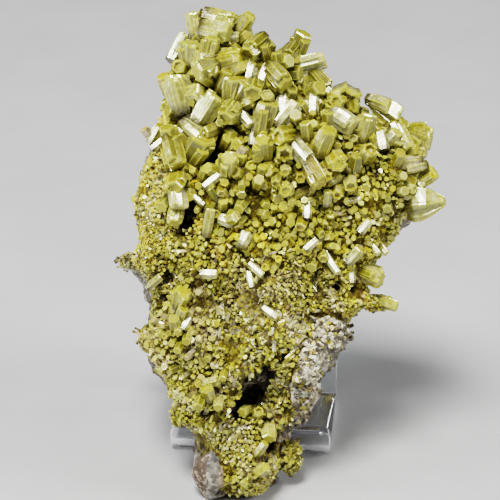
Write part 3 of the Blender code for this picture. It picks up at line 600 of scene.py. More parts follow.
@dataclass(frozen=True)
class Body:
    """The crusted specimen without its free crystals: squared ovals up the face, with relief in front."""

    squareness: float = 2.6
    widest_share: float = 0.97
    flat_toe: float = 10.0
    foot_end: float = 0.015
    dome_start: float = 0.965
    dome_rise: float = 2.4
    least_ring: float = 0.03
    broad_waves: tuple = ((0.75, 15.0, 3), (0.4, 7.0, 4))
    inset: float = 1.0
    bare_reach: float = 1.6

    def height(self) -> float:
        """Height of the last full ring."""
        return OUTLINE_MM[-1][0]

    def limits(self, z: Array) -> tuple[Array, ...]:
        """Left, right, front and back limits at heights up the face.

        Args:
            z: heights.

        Returns:
            Left, right, front and back, as arrays.
        """
        heights, left, right = np.array(OUTLINE_MM).T
        levels, front, back = np.array(DEPTH_MM).T
        return (np.interp(z, heights, left), np.interp(z, heights, right),
                np.interp(z, levels, front), np.interp(z, levels, back))

    def relief(self, x: Array, z: Array) -> Array:
        """How far the front stands out: the sum of a bell for each swelling and hollow.

        Args:
            x: places across the face.
            z: places up it.

        Returns:
            Heights in millimetres.
        """
        total = np.zeros_like(x)
        for _name, pixel_x, pixel_y, radius, height in SWELLINGS + HOLLOWS:
            spot_x, spot_z = FACE.spot(pixel_x, pixel_y)
            total = total + height * np.exp(-((x - spot_x) ** 2 + (z - spot_z) ** 2) / radius**2)
        return total

    def bareness(self, x: Array, z: Array) -> Array:
        """1 where the rock is bare, falling to 0 under the crust.

        Args:
            x: places across the face.
            z: places up it.

        Returns:
            Shares from 0 to 1.
        """
        share = np.zeros_like(x)
        for _name, pixel_x, pixel_y, radius_x, radius_z in BARE_ROCK:
            spot_x, spot_z = FACE.spot(pixel_x, pixel_y)
            far = ((x - spot_x) / radius_x) ** 2 + ((z - spot_z) / radius_z) ** 2
            share = np.maximum(share, np.clip(self.bare_reach - far, 0, 1))
        return share

    def roughness(self, points: Array) -> Array:
        """Height of the broad waves at points."""
        return sum(height * waves(points, length, seed) for height, length, seed in self.broad_waves)

    def rings(self, u: Array) -> tuple[Array, Array]:
        """Height and size of the ring at u: a flat foot, full rings, then a dome that closes the top.

        Args:
            u: places from the foot, 0, to the crest, 1.

        Returns:
            Heights, and sizes as shares of the full ring.
        """
        along = np.clip((u - self.foot_end) / (self.dome_start - self.foot_end), 0, 1)
        arc = np.clip((u - self.dome_start) / (1 - self.dome_start), 0, 1) * math.pi / 2
        size = np.where(u < self.foot_end, u / self.foot_end, np.cos(arc))
        return self.height() * along + self.dome_rise * np.sin(arc), np.maximum(size, self.least_ring)

    def level(self, points: Array) -> Array:
        """The same points with the toe sheared, so that it stands flat once the specimen leans back.

        Args:
            points: places in the face frame.

        Returns:
            The sheared points.
        """
        near_floor = np.clip(1 - points[:, 2] / self.flat_toe, 0, 1)
        level = points.copy()
        level[:, 2] += points[:, 1] * math.tan(FACE.lean_back) * near_floor
        return level

    def around(self, turn: Array) -> Array:
        """Level unit vectors that point out of the body."""
        return np.stack([np.cos(turn), np.sin(turn), np.zeros_like(turn)], axis=-1)

    def skin(self, u: Array, turn: Array) -> Array:
        """Points before the toe is levelled: a squared oval, the front's relief and broad waves all round.

        Args:
            u: places from the foot, 0, to the crest, 1.
            turn: places round the body, in radians.

        Returns:
            Points of the face frame.
        """
        z, size = self.rings(u)
        left, right, front, back = self.limits(z)
        power = 2 / self.squareness
        across = size * np.sign(np.cos(turn)) * np.abs(np.cos(turn)) ** power
        inward = size * np.sign(np.sin(turn)) * np.abs(np.sin(turn)) ** power
        x = (left + right) / 2 + across * (right - left) / 2
        y = np.where(inward < 0, inward * front, inward * back)
        facing = size * np.clip(-np.sin(turn), 0, 1) ** 0.5
        points = np.stack([x, y - facing * self.relief(x, z), z], axis=-1)
        return points + self.around(turn) * (size * self.roughness(points))[:, None]

    def points(self, u: Array, turn: Array) -> Array:
        """Points of the druse: the crust's surface drawn in by the inset that its crystals fill."""
        skin = self.skin(u, turn)
        return self.level(skin - self.around(turn) * (self.inset * self.rings(u)[1])[:, None])

    def front(self, x: float, z: float) -> float:
        """Y of the crust's front at one place of the face.

        Args:
            x: the place across the face.
            z: the place up it.

        Returns:
            Y, negative towards the viewer.
        """
        left, right, front, _back = (float(limit) for limit in self.limits(np.array(z)))
        share = np.clip((2 * x - left - right) / (right - left), -self.widest_share, self.widest_share)
        inward = (1 - abs(share) ** self.squareness) ** (1 / self.squareness)
        y = -inward * front - inward * float(self.relief(np.array(x), np.array(z)))
        return y - inward * float(self.roughness(np.array([[x, y, z]]))[0])


@dataclass(frozen=True)
class RockBody:
    """The rock slab: under the crust in front, a little proud of it behind and where it is bare."""

    body: Body
    thickness: float = 4.6
    most_share: float = 0.3
    edge: float = 0.45
    steepness: float = 1.5
    proud: float = 1.0
    lowest: float = -0.8
    highest: float = 86.0

    def wrapped(self, turn: Array) -> Array:
        """1 where the crust wraps the rock, falling to 0 a little way round the back."""
        return np.clip(self.edge - self.steepness * np.sin(turn), 0, 1)

    def points(self, u: Array, turn: Array) -> Array:
        """Points of the rock: the crust's skin drawn in by the crust's thickness, between its own ends.

        Args:
            u: places from the foot, 0, to the crest, 1.
            turn: places round the body, in radians.

        Returns:
            Points of the face frame.
        """
        skin = self.body.skin(u, turn)
        z = self.lowest + (self.highest - self.lowest) * skin[:, 2] / self.body.height()
        _left, _right, front, back = self.body.limits(z)
        buried = self.wrapped(turn) * (1 - self.body.bareness(skin[:, 0], skin[:, 2]))
        cover = np.minimum(self.thickness, self.most_share * (front + back)) * buried
        cover = cover - self.proud * (1 - buried)
        size = self.body.rings(u)[1]
        moved = skin - self.body.around(turn) * (cover * size)[:, None]
        moved[:, 2] = z
        return self.body.level(moved)


@dataclass(frozen=True)
class Cluster:
    """A rounded lump of fine crystals: an ellipsoid at a pixel and depth of the face."""

    name: str
    pixel_x: float
    pixel_y: float
    depth: float
    half_x: float
    half_y: float
    half_z: float

    def points(self, u: Array, turn: Array) -> Array:
        """Points of the ellipsoid: u runs from its lowest to its highest point.

        Args:
            u: places from the lowest point, 0, to the highest, 1.
            turn: places round it, in radians.

        Returns:
            Points of the face frame.
        """
        x, z = FACE.spot(self.pixel_x, self.pixel_y)
        rise = np.clip(u, 0.02, 0.98) * math.pi
        ring = np.sin(rise)
        half = np.array([self.half_x, self.half_y, self.half_z])
        ball = np.stack([ring * np.cos(turn), ring * np.sin(turn), -np.cos(rise)], axis=-1)
        return ball * half + np.array([x, self.depth, z])


CLUSTERS = (
    Cluster("side_lobe", 291, 461, 1.5, 2.2, 2.8, 3.2),
    Cluster("right_wing_arm", 376, 303, -2.0, 3.6, 3.6, 1.5),
    Cluster("left_rim_knot", 128, 262, 3.0, 1.9, 3.2, 1.6),
    Cluster("left_foot_knot", 180, 416, 0.0, 1.9, 4.2, 2.6),
    Cluster("left_ledge", 147, 341, 3.0, 2.0, 4.4, 2.6),
)


@dataclass
class MeshArrays:
    """A mesh as arrays: points, every face's corners in a row, where each face starts, and four layers."""

    points: Array
    corners: Array
    starts: Array
    tint: Array
    growth: Array
    local: Array
    faces: Array

    @staticmethod
    def joined(parts: list["MeshArrays"]) -> "MeshArrays":
        """Several meshes as one, with their corners renumbered."""
        firsts = np.cumsum([0] + [len(part.points) for part in parts[:-1]])
        offsets = np.cumsum([0] + [len(part.corners) for part in parts[:-1]])
        return MeshArrays(
            np.concatenate([part.points for part in parts]),
            np.concatenate([part.corners + first for part, first in zip(parts, firsts)]),
            np.concatenate([part.starts + offset for part, offset in zip(parts, offsets)]),
            *(np.concatenate([getattr(part, layer) for part in parts])
              for layer in ("tint", "growth", "local", "faces")))


def grid_faces(rows: int, around: int, batches: int = 1) -> tuple[Array, Array]:
    """Faces of tubes of rows by around points: quads between rows, and one flat face at each end.

    Args:
        rows: rings along the tube.
        around: points in a ring.
        batches: how many tubes stand one after another in the points.

    Returns:
        The corners of every face in a row, and where each face starts in it.
    """
    row, step = np.meshgrid(np.arange(rows - 1), np.arange(around), indexing="ij")
    after = (step + 1) % around
    low, high = row * around, (row + 1) * around
    quads = np.stack([low + step, low + after, high + after, high + step], axis=-1).reshape(-1)
    foot = np.arange(around)[::-1]
    head = (rows - 1) * around + np.arange(around)
    one = np.concatenate([quads, foot, head])
    sizes = np.concatenate([np.full((rows - 1) * around, 4), [around, around]])
    starts = np.concatenate([[0], np.cumsum(sizes)[:-1]])
    shift = np.arange(batches)[:, None]
    return (one + shift * rows * around).reshape(-1), (starts + shift * len(one)).reshape(-1)


def grid_normals(points: Array) -> Array:
    """Outward unit normals of a grid of rings: the cross product of the steps round and along it."""
    round_step = np.roll(points, -1, axis=1) - np.roll(points, 1, axis=1)
    along_step = np.gradient(points, axis=0)
    return unit(np.cross(round_step, along_step))


def mesh_data(name: str, points: Array, corners: Array, starts: Array,
              finish: Material) -> bpy.types.Mesh:
    """A mesh of one material.

    Args:
        name: the mesh's name.
        points: its points, in metres.
        corners: the corners of every face in a row.
        starts: where each face starts in it.
        finish: the material.

    Returns:
        The new mesh.
    """
    data = bpy.data.meshes.new(name)
    data.vertices.add(len(points))
    data.vertices.foreach_set("co", points.reshape(-1))
    data.loops.add(len(corners))
    data.loops.foreach_set("vertex_index", corners)
    data.polygons.add(len(starts))
    data.polygons.foreach_set("loop_start", starts)
    data.update(calc_edges=True)
    data.materials.append(finish)
    return data


def shown(name: str, data: bpy.types.ID) -> Object:
    """A new object of the scene with its data."""
    made = bpy.data.objects.new(name, data)
    bpy.context.scene.collection.objects.link(made)
    return made


def stand_for(piece: Object, node: str) -> None:
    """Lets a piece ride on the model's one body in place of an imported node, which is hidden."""
    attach(piece, "root")
    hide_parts(node)
    LOG.info("%s: %d faces", piece.name, len(piece.data.polygons))


def new_piece(name: str, mesh: MeshArrays, finish: Material, node: str,
              smooth: bool = False) -> None:
    """A piece of the specimen, leant back and set down.

    Args:
        name: the piece's name.
        mesh: its arrays, in the face frame.
        finish: its material.
        node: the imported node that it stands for.
        smooth: whether its faces are shaded smooth.
    """
    data = mesh_data(name, FACE.to_world(mesh.points), mesh.corners, mesh.starts, finish)
    for layer, values in (("tint", mesh.tint), ("growth", mesh.growth)):
        colours = np.concatenate([values, np.ones((len(values), 1))], axis=1).astype(np.float32)
        data.attributes.new(layer, "FLOAT_COLOR", "POINT").data.foreach_set("color", colours.reshape(-1))
    data.attributes.new("local", "FLOAT_VECTOR", "POINT").data.foreach_set(
        "vector", mesh.local.astype(np.float32).reshape(-1))
    data.uv_layers.new(name="faces").data.foreach_set("uv", mesh.faces.astype(np.float32).reshape(-1))
    data.polygons.foreach_set("use_smooth", np.full(len(mesh.starts), smooth))
    data.validate()
    stand_for(shown(name, data), node)


@dataclass
class Batch:
    """Many crystals at once, one row each, in the face frame and in millimetres."""

    middle: Array
    along: Array
    width: Array
    length: Array
    flare: Array
    bend: Array
    spin: Array
    hopper: Array
    bulge: Array
    tint: Array

    def chosen(self, mask: Array) -> "Batch":
        """Only the crystals where mask is true."""
        return Batch(*(values[mask] for values in vars(self).values()))

    def axes(self) -> tuple[Array, Array]:
        """Two unit vectors square to each crystal: one across it on the face, one towards the viewer."""
        viewer = np.array([0.02, -1.0, 0.03])
        toward = unit(viewer - (self.along @ viewer)[:, None] * self.along)
        return np.cross(toward, self.along), toward


@dataclass(frozen=True)
class BarrelCut:
    """How finely a batch of crystals is cut, and how far each strays from a perfect six-sided barrel."""

    blades: int = 1
    stations: int = 2
    corner_jitter: float = 0.10
    plate_depth: Pair = (-0.05, 0.10)
    plate_wall: float = 0.05
    plate_step: float = 0.12
    wobble: float = 0.02
    chamfer: float = 0.10
    cap_slope: float = 0.14
    cratered: bool = True
    root: float = 1.4
    apart: float = 40
    near_wall: Pair = (0.12, 0.46)
    far_wall: Pair = (0.58, 0.88)
    chamfer_ring: Triple = (0.0, 0.86, 0.12)
    crater_rings: tuple[Triple, ...] = ((0.0, 0.62, 0.45), (1.0, 0.50, 0.9), (1.15, 0.06, 1.0))

    def section(self, rng: np.random.Generator, count: int) -> tuple[Array, Array]:
        """Six-sided sections of about unit radius, with a sunk or raised plate on each side.

        A point is a blend of its side's two corners, moved towards or away from the middle on the plate.
        With three blades the plate's far wall is the next corner, and with five it has two steep walls.

        Args:
            rng: the seeded source of chance.
            count: how many crystals.

        Returns:
            The points, and 1 for the points of a plate.
        """
        turn = np.arange(6) * math.pi / 3
        reach = 1 + self.corner_jitter * rng.uniform(-1, 1, (count, 6))
        corners = np.stack([reach * np.cos(turn), reach * np.sin(turn)], axis=-1)
        share = np.zeros((count, 6, self.blades))
        plate = np.zeros((count, 6, self.blades))
        near = rng.uniform(*self.near_wall, (count, 6))
        far = rng.uniform(*self.far_wall, (count, 6))
        walls = [near, near + self.plate_wall, far, far + self.plate_wall]
        for index, wall in enumerate(walls[:self.blades - 1]):
            share[..., index + 1] = wall
        plate[..., 2:4] = 1
        sunk = 1 - plate * rng.uniform(*self.plate_depth, (count, 6, 1))
        following = np.roll(corners, -1, axis=1)
        points = corners[:, :, None] * (1 - share)[..., None] + following[:, :, None] * share[..., None]
        flat = (count, 6 * self.blades)
        return (points * sunk[..., None]).reshape(*flat, 2), plate.reshape(flat)

    def faces(self, rows: int, count: int) -> Array:
        """Place of each face's corners: sides round the crystal and rings up it; an end lies mid side.

        Args:
            rows: rings up a crystal.
            count: how many crystals.

        Returns:
            Two numbers for each corner: the side and the ring.
        """
        around = 6 * self.blades
        ring, step = np.meshgrid(np.arange(rows - 1), np.arange(around), indexing="ij")
        left, right = step / self.blades, (step + 1) / self.blades
        sides = np.stack([left, right, right, left, ring, ring, ring + 1, ring + 1], axis=-1)
        sides = sides.reshape(-1, 2, 4).transpose(0, 2, 1).reshape(-1, 2)
        ends = np.array([[0.5, 0]] * around + [[0.5, rows - 1]] * around)
        return np.tile(np.concatenate([sides, ends]), (count, 1))

    def profile(self, batch: Batch, rng: np.random.Generator) -> tuple[Array, Array, Array]:
        """Height, size and cap share of every ring of every crystal.

        The side rings swell in the middle and wobble a little; the tip has a chamfer, and then either a
        flat end or a rim round a six-sided crater.

        Args:
            batch: the crystals.
            rng: the seeded source of chance.

        Returns:
            Heights in millimetres from the root, sizes as shares of the radius, and 0 on the sides to 1
            at the middle of the cap.
        """
        count = len(batch.width)
        share = np.linspace(0, 1, self.stations)
        straight = batch.length + self.root - self.chamfer * batch.width
        heights = [straight * s for s in share]
        wobble = 1 + self.wobble * rng.uniform(-1, 1, (count, self.stations))
        sizes = [(1 + batch.bulge * (4 * s * (1 - s) - 0.5)) * wobble[:, i] for i, s in enumerate(share)]
        caps = [np.zeros(count) for _s in share]
        full = batch.length + self.root
        rings = [self.chamfer_ring] if self.chamfer else []
        rings += self.crater_rings if self.cratered else ()
        for drop, size, cap in rings:
            heights.append(full - drop * batch.hopper * batch.width)
            sizes.append(size * wobble[:, -1] * (1 - 0.5 * batch.bulge))
            caps.append(np.full(count, cap))
        return np.stack(heights, axis=1), np.stack(sizes, axis=1), np.stack(caps, axis=1)

    def mesh(self, batch: Batch, seed: int) -> MeshArrays:
        """The crystals as one mesh: each ring is the section scaled, flared, bent and set along the axis.

        Args:
            batch: the crystals.
            seed: chooses the small irregularities.

        Returns:
            The mesh, with each point's tint, growth (height share, cap share, own number) and local place.
        """
        rng = np.random.default_rng(seed)
        count = len(batch.width)
        section, plate = self.section(rng, count)
        heights, sizes, caps = self.profile(batch, rng)
        rise = heights / (batch.length + self.root)[:, None]
        radius = (batch.width / math.sqrt(3))[:, None] * sizes
        flare = 1 + batch.flare[:, None] * (2 * np.clip(rise, 0, 1) - 1)
        cos, sin = np.cos(batch.spin)[:, None], np.sin(batch.spin)[:, None]
        across = section[..., 0] * cos - section[..., 1] * sin
        toward = section[..., 0] * sin + section[..., 1] * cos
        x = across[:, None, :] * (radius * flare)[..., None]
        y = toward[:, None, :] * (radius * np.sqrt(flare))[..., None]
        slope = self.cap_slope * rng.uniform(-1, 1, (count, 2))
        tilt = x * slope[:, 0, None, None] + y * slope[:, 1, None, None]
        tilt = tilt * smooth_step(rise, 0.6, 1.0)[..., None]
        steps = plate * rng.uniform(-0.3, 1, (count, 1)) * self.plate_step * batch.width[:, None]
        at_rim = smooth_step(rise, 0.6, 0.95) * (caps < 0.2)
        lift = heights[..., None] + tilt - steps[:, None] * at_rim[..., None]
        x = x + (batch.bend * batch.length)[:, None, None] * rise[..., None] ** 2
        side, front = batch.axes()
        base = batch.middle - batch.along * (batch.length / 2 + self.root)[:, None]
        points = base[:, None, None] + side[:, None, None] * x[..., None]
        points = points + front[:, None, None] * y[..., None]
        points = points + batch.along[:, None, None] * lift[..., None]
        rows, around = heights.shape[1], section.shape[1]
        corners, starts = grid_faces(rows, around, count)
        own = rng.random(count)
        growth = np.stack(np.broadcast_arrays(rise[..., None], caps[..., None], own[:, None, None],
                                              np.zeros(around))[:3], axis=-1)
        local = np.stack([x, y, lift], axis=-1) / batch.width[:, None, None, None]
        local = local + self.apart * own[:, None, None, None]
        tint = np.broadcast_to(batch.tint[:, None, None], points.shape)
        flat = (-1, 3)
        return MeshArrays(points.reshape(flat), corners, starts, tint.reshape(flat),
                          np.broadcast_to(growth, points.shape).reshape(flat), local.reshape(flat),
                          self.faces(rows, count))


LARGE_CUT = BarrelCut(blades=5, stations=6, root=0.4)
SMALL_CUT = BarrelCut(blades=3, stations=4, root=0.6)
MIDDLE_CUT = BarrelCut(stations=3)
PLAIN_CUT = BarrelCut(cratered=False, chamfer=0.0, cap_slope=0.6, corner_jitter=0.25)


@dataclass(frozen=True)
class Growth:
    """What grows where on the face, from the named zones."""

    zones: tuple[Zone, ...] = ZONES
    width_spread: float = 0.28
    tint_spread: float = 0.46
    patch_mm: float = 3.6
    patch_swing: float = 0.9
    cloud_swing: float = 0.6
    cloud_size: float = 1.7
    lightness_range: Pair = (0.3, 1.7)
    hue_spread: Triple = (0.03, 0.05, 0.25)
    warm_below: float = 52.0
    warm_rise: float = 20
    warmth: Triple = (0.03, -0.03, 0.45)
    blue_most: float = 0.8
    zone_fade: float = 1.4
    least_chance: float = 1e-9

    def zone_of(self, points: Array, rng: np.random.Generator) -> Array:
        """One zone for each point, drawn with chances that fall off as bells round each zone's middle.

        Args:
            points: places in the face frame.
            rng: the seeded source of chance.

        Returns:
            The number of each point's zone.
        """
        chances = []
        for zone in self.zones:
            x, z = FACE.spot(zone.pixel_x, zone.pixel_y)
            far = ((points[:, 0] - x) / zone.radius_x) ** 2 + ((points[:, 2] - z) / zone.radius_z) ** 2
            chances.append(np.exp(-self.zone_fade * far) + self.least_chance / (1 + far))
        summed = np.cumsum(np.stack(chances, axis=1), axis=1)
        draw = rng.random(len(points)) * summed[:, -1]
        return (summed < draw[:, None]).sum(axis=1)

    def values(self, name: str, chosen: Array) -> Array:
        """One field of each point's zone."""
        return np.array([getattr(zone, name) for zone in self.zones])[chosen]

    def tints(self, points: Array, chosen: Array, rng: np.random.Generator) -> Array:
        """Each point's colour: its zone's main or second tone, in patches, some lighter, some darker, some in
        painted shade.

        Args:
            points: places in the face frame.
            chosen: the number of each point's zone.
            rng: the seeded source of chance.

        Returns:
            One linear colour for each point.
        """
        main = np.array([zone.main.value for zone in self.zones])[chosen]
        second = np.array([zone.second.value for zone in self.zones])[chosen]
        patch = layered_noise(points, self.patch_mm, 121, 2)
        other = rng.random(len(chosen)) < self.values("second_share", chosen) + self.patch_swing * patch
        mixed = np.where(other[:, None], second, main)
        cloud = layered_noise(points, self.cloud_size * self.patch_mm, 123, 2)
        swing = self.tint_spread * rng.normal(size=len(chosen)) + self.cloud_swing * cloud
        lightness = np.exp(swing).clip(*self.lightness_range)
        hue = np.exp(rng.normal(size=(len(chosen), 3)) * np.array(self.hue_spread))
        low = smooth_step(points[:, 2], self.warm_below, self.warm_below - self.warm_rise)[:, None]
        warmth = 1 + low * np.array(self.warmth)
        # Painted shade: the SHADY bells darken the tint.
        colour = mixed * (lightness * np.exp(-bells(points, SHADY)))[:, None] * hue * warmth
        colour[:, 2] = np.minimum(colour[:, 2], self.blue_most * colour[:, 1])
        return colour


def scattered(surface: Surface, count: int, rng: np.random.Generator) -> tuple[Array, ...]:
    """Points spread evenly over a surface, by picking cells of a grid by their area.

    Args:
        surface: the surface.
        count: how many points.
        rng: the seeded source of chance.

    Returns:
        Points, outward normals, and the turn of each.
    """
    rows, around, u_step, turn_step = 120, 144, 0.004, 0.01
    u, turn = np.meshgrid(np.linspace(0, 1, rows + 1), np.linspace(0, 2 * math.pi, around + 1), indexing="ij")
    grid = surface.points(u.reshape(-1), turn.reshape(-1)).reshape(*u.shape, 3)
    area = np.linalg.norm(np.cross(grid[1:, :-1] - grid[:-1, :-1], grid[:-1, 1:] - grid[:-1, :-1]), axis=-1)
    cell = rng.choice(area.size, count, p=area.reshape(-1) / area.sum())
    row, step = np.unravel_index(cell, area.shape)
    u_here = (row + rng.random(count)) / rows
    turn_here = (step + rng.random(count)) / around * 2 * math.pi
    here = surface.points(u_here, turn_here)
    aside = surface.points(u_here, turn_here + turn_step) - surface.points(u_here, turn_here - turn_step)
    above = surface.points(np.minimum(u_here + u_step, 1), turn_here)
    above = above - surface.points(u_here - u_step, turn_here)
    return here, unit(np.cross(aside, above)), turn_here


def spaced(points: Array, spacing: Array) -> Array:
    """Which points to keep, taken in order, so that none lies within a kept one's spacing.

    Args:
        points: places in order of importance.
        spacing: how far others must stay from each.

    Returns:
        True for the points to keep.
    """
    tree = KDTree(len(points))
    for index, point in enumerate(points):
        tree.insert(point, index)
    tree.balance()
    free = np.ones(len(points), bool)
    kept = np.zeros(len(points), bool)
    for index, point in enumerate(points):
        if free[index]:
            kept[index] = True
            free[[near for _place, near, _far in tree.find_range(point, spacing[index])]] = False
    return kept


@dataclass(frozen=True)
class Board:
    """Lays nodes in one tree and links them."""

    tree: NodeTree

    def add(self, kind: str, inputs: dict | None = None, **settings: object) -> Node:
        """A new node.

        Args:
            kind: the node's type.
            inputs: a value, or a socket to link from, for each input's name or number.
            settings: the node's own properties.

        Returns:
            The node.
        """
        node = self.tree.nodes.new(kind)
        for name, value in settings.items():
            setattr(node, name, value)
        for key, value in (inputs or {}).items():
            if isinstance(value, Socket):
                self.tree.links.new(value, node.inputs[key])
            else:
                node.inputs[key].default_value = value
        return node

    def attribute(self, name: str) -> Node:
        """A reader of one of the piece's own layers."""
        return self.add("ShaderNodeAttribute", attribute_name=name)

    def join(self, value: Socket, node: Node, name: str) -> None:
        """Links a socket to a node's input."""
        self.tree.links.new(value, node.inputs[name])

    def math(self, operation: str, first: object, second: object = 0.0) -> Socket:
        """A sum or other simple operation on two numbers."""
        return self.add("ShaderNodeMath", {0: first, 1: second}, operation=operation).outputs[0]

    def times(self, first: object, second: object) -> Socket:
        """The product of two numbers."""
        return self.math("MULTIPLY", first, second)

    def ranged(self, value: object, low: float, high: float, start: float = 0.0, end: float = 1.0) -> Socket:
        """A number taken smoothly from low..high to start..end."""
        inputs = {"Value": value, "From Min": low, "From Max": high, "To Min": start, "To Max": end}
        return self.add("ShaderNodeMapRange", inputs, interpolation_type="SMOOTHSTEP").outputs["Result"]

    def mix(self, share: object, first: object, second: object, blend: str = "MIX") -> Socket:
        """Two colours mixed."""
        inputs = {0: share, 6: first, 7: second}
        return self.add("ShaderNodeMix", inputs, data_type="RGBA", blend_type=blend).outputs[2]

    def noise(self, vector: object, scale: object, detail: float = 3.0, roughness: float = 0.55) -> Socket:
        """Soft noise from 0 to 1."""
        inputs = {"Vector": vector, "Scale": scale, "Detail": detail, "Roughness": roughness}
        return self.add("ShaderNodeTexNoise", inputs).outputs["Fac"]

    def bump(self, height: object, strength: float, distance: float, normal: object = None) -> Socket:
        """A normal bent by a height."""
        inputs = {"Height": height, "Strength": strength, "Distance": distance}
        if normal is not None:
            inputs["Normal"] = normal
        return self.add("ShaderNodeBump", inputs).outputs["Normal"]


def shader_group(name: str, inputs: dict[str, tuple[str, object]],
                 outputs: dict[str, str]) -> tuple[NodeTree, Node, Node]:
    """An empty node group with its sockets.

    Args:
        name: the group's name.
        inputs: each input's kind and default.
        outputs: each output's kind.

    Returns:
        The group's tree, and its input and output nodes.
    """
    tree = bpy.data.node_groups.new(name, "ShaderNodeTree")
    for label, (kind, default) in inputs.items():
        socket = tree.interface.new_socket(label, in_out="INPUT", socket_type=f"NodeSocket{kind}")
        if default is not None:
            socket.default_value = default
    for label, kind in outputs.items():
        tree.interface.new_socket(label, in_out="OUTPUT", socket_type=f"NodeSocket{kind}")
    return tree, tree.nodes.new("NodeGroupInput"), tree.nodes.new("NodeGroupOutput")


def stripes_group() -> NodeTree:
    """Growth lines along a crystal: noise drawn out along the local Z of each crystal.

    Returns:
        The group's tree.
    """
    tree, given, out = shader_group(
        "growth_lines",
        {"Local": ("Vector", None), "Fineness": ("Float", 5.0)},
        {"Lines": "Float", "Height": "Float"})
    board = Board(tree)
    inputs = {0: given.outputs["Local"], 1: (1.0, 1.0, 0.10)}
    drawn = board.add("ShaderNodeVectorMath", inputs, operation="MULTIPLY")
    fine = board.noise(drawn.outputs[0], given.outputs["Fineness"], 4.0, 0.65)
    board.join(board.ranged(fine, 0.36, 0.66), out, "Lines")
    board.join(fine, out, "Height")
    return tree


def grain_group() -> NodeTree:
    """Mineral grain: small cells, each lighter or darker, over soft blotches.

    Returns:
        The group's tree.
    """
    tree, given, out = shader_group(
        "mineral_grain",
        {"Vector": ("Vector", None), "Grain Scale": ("Float", 900.0), "Blotch Scale": ("Float", 160.0)},
        {"Grain": "Float", "Blotch": "Float", "Height": "Float"})
    board = Board(tree)
    inputs = {"Vector": given.outputs["Vector"], "Scale": given.outputs["Grain Scale"]}
    cells = board.add("ShaderNodeTexVoronoi", inputs)
    tone = board.add("ShaderNodeSeparateColor", {0: cells.outputs["Color"]})
    blotch = board.noise(given.outputs["Vector"], given.outputs["Blotch Scale"], 4.0, 0.6)
    height = board.math("SUBTRACT", board.times(blotch, 0.8), board.times(cells.outputs["Distance"], 0.5))
    board.join(tone.outputs[0], out, "Grain")
    board.join(board.ranged(blotch, 0.32, 0.68), out, "Blotch")
    board.join(height, out, "Height")
    return tree


@dataclass(frozen=True)
class Groups:
    """The shader groups that more than one finish uses."""

    lines: NodeTree = field(default_factory=stripes_group)
    grain: NodeTree = field(default_factory=grain_group)


def fresh_material(name: str) -> tuple[Material, Board, Node]:
    """A new node material with its board and its Principled shader."""
    made = bpy.data.materials.new(name)
    made.use_nodes = True
    board = Board(made.node_tree)
    return made, board, made.node_tree.nodes["Principled BSDF"]


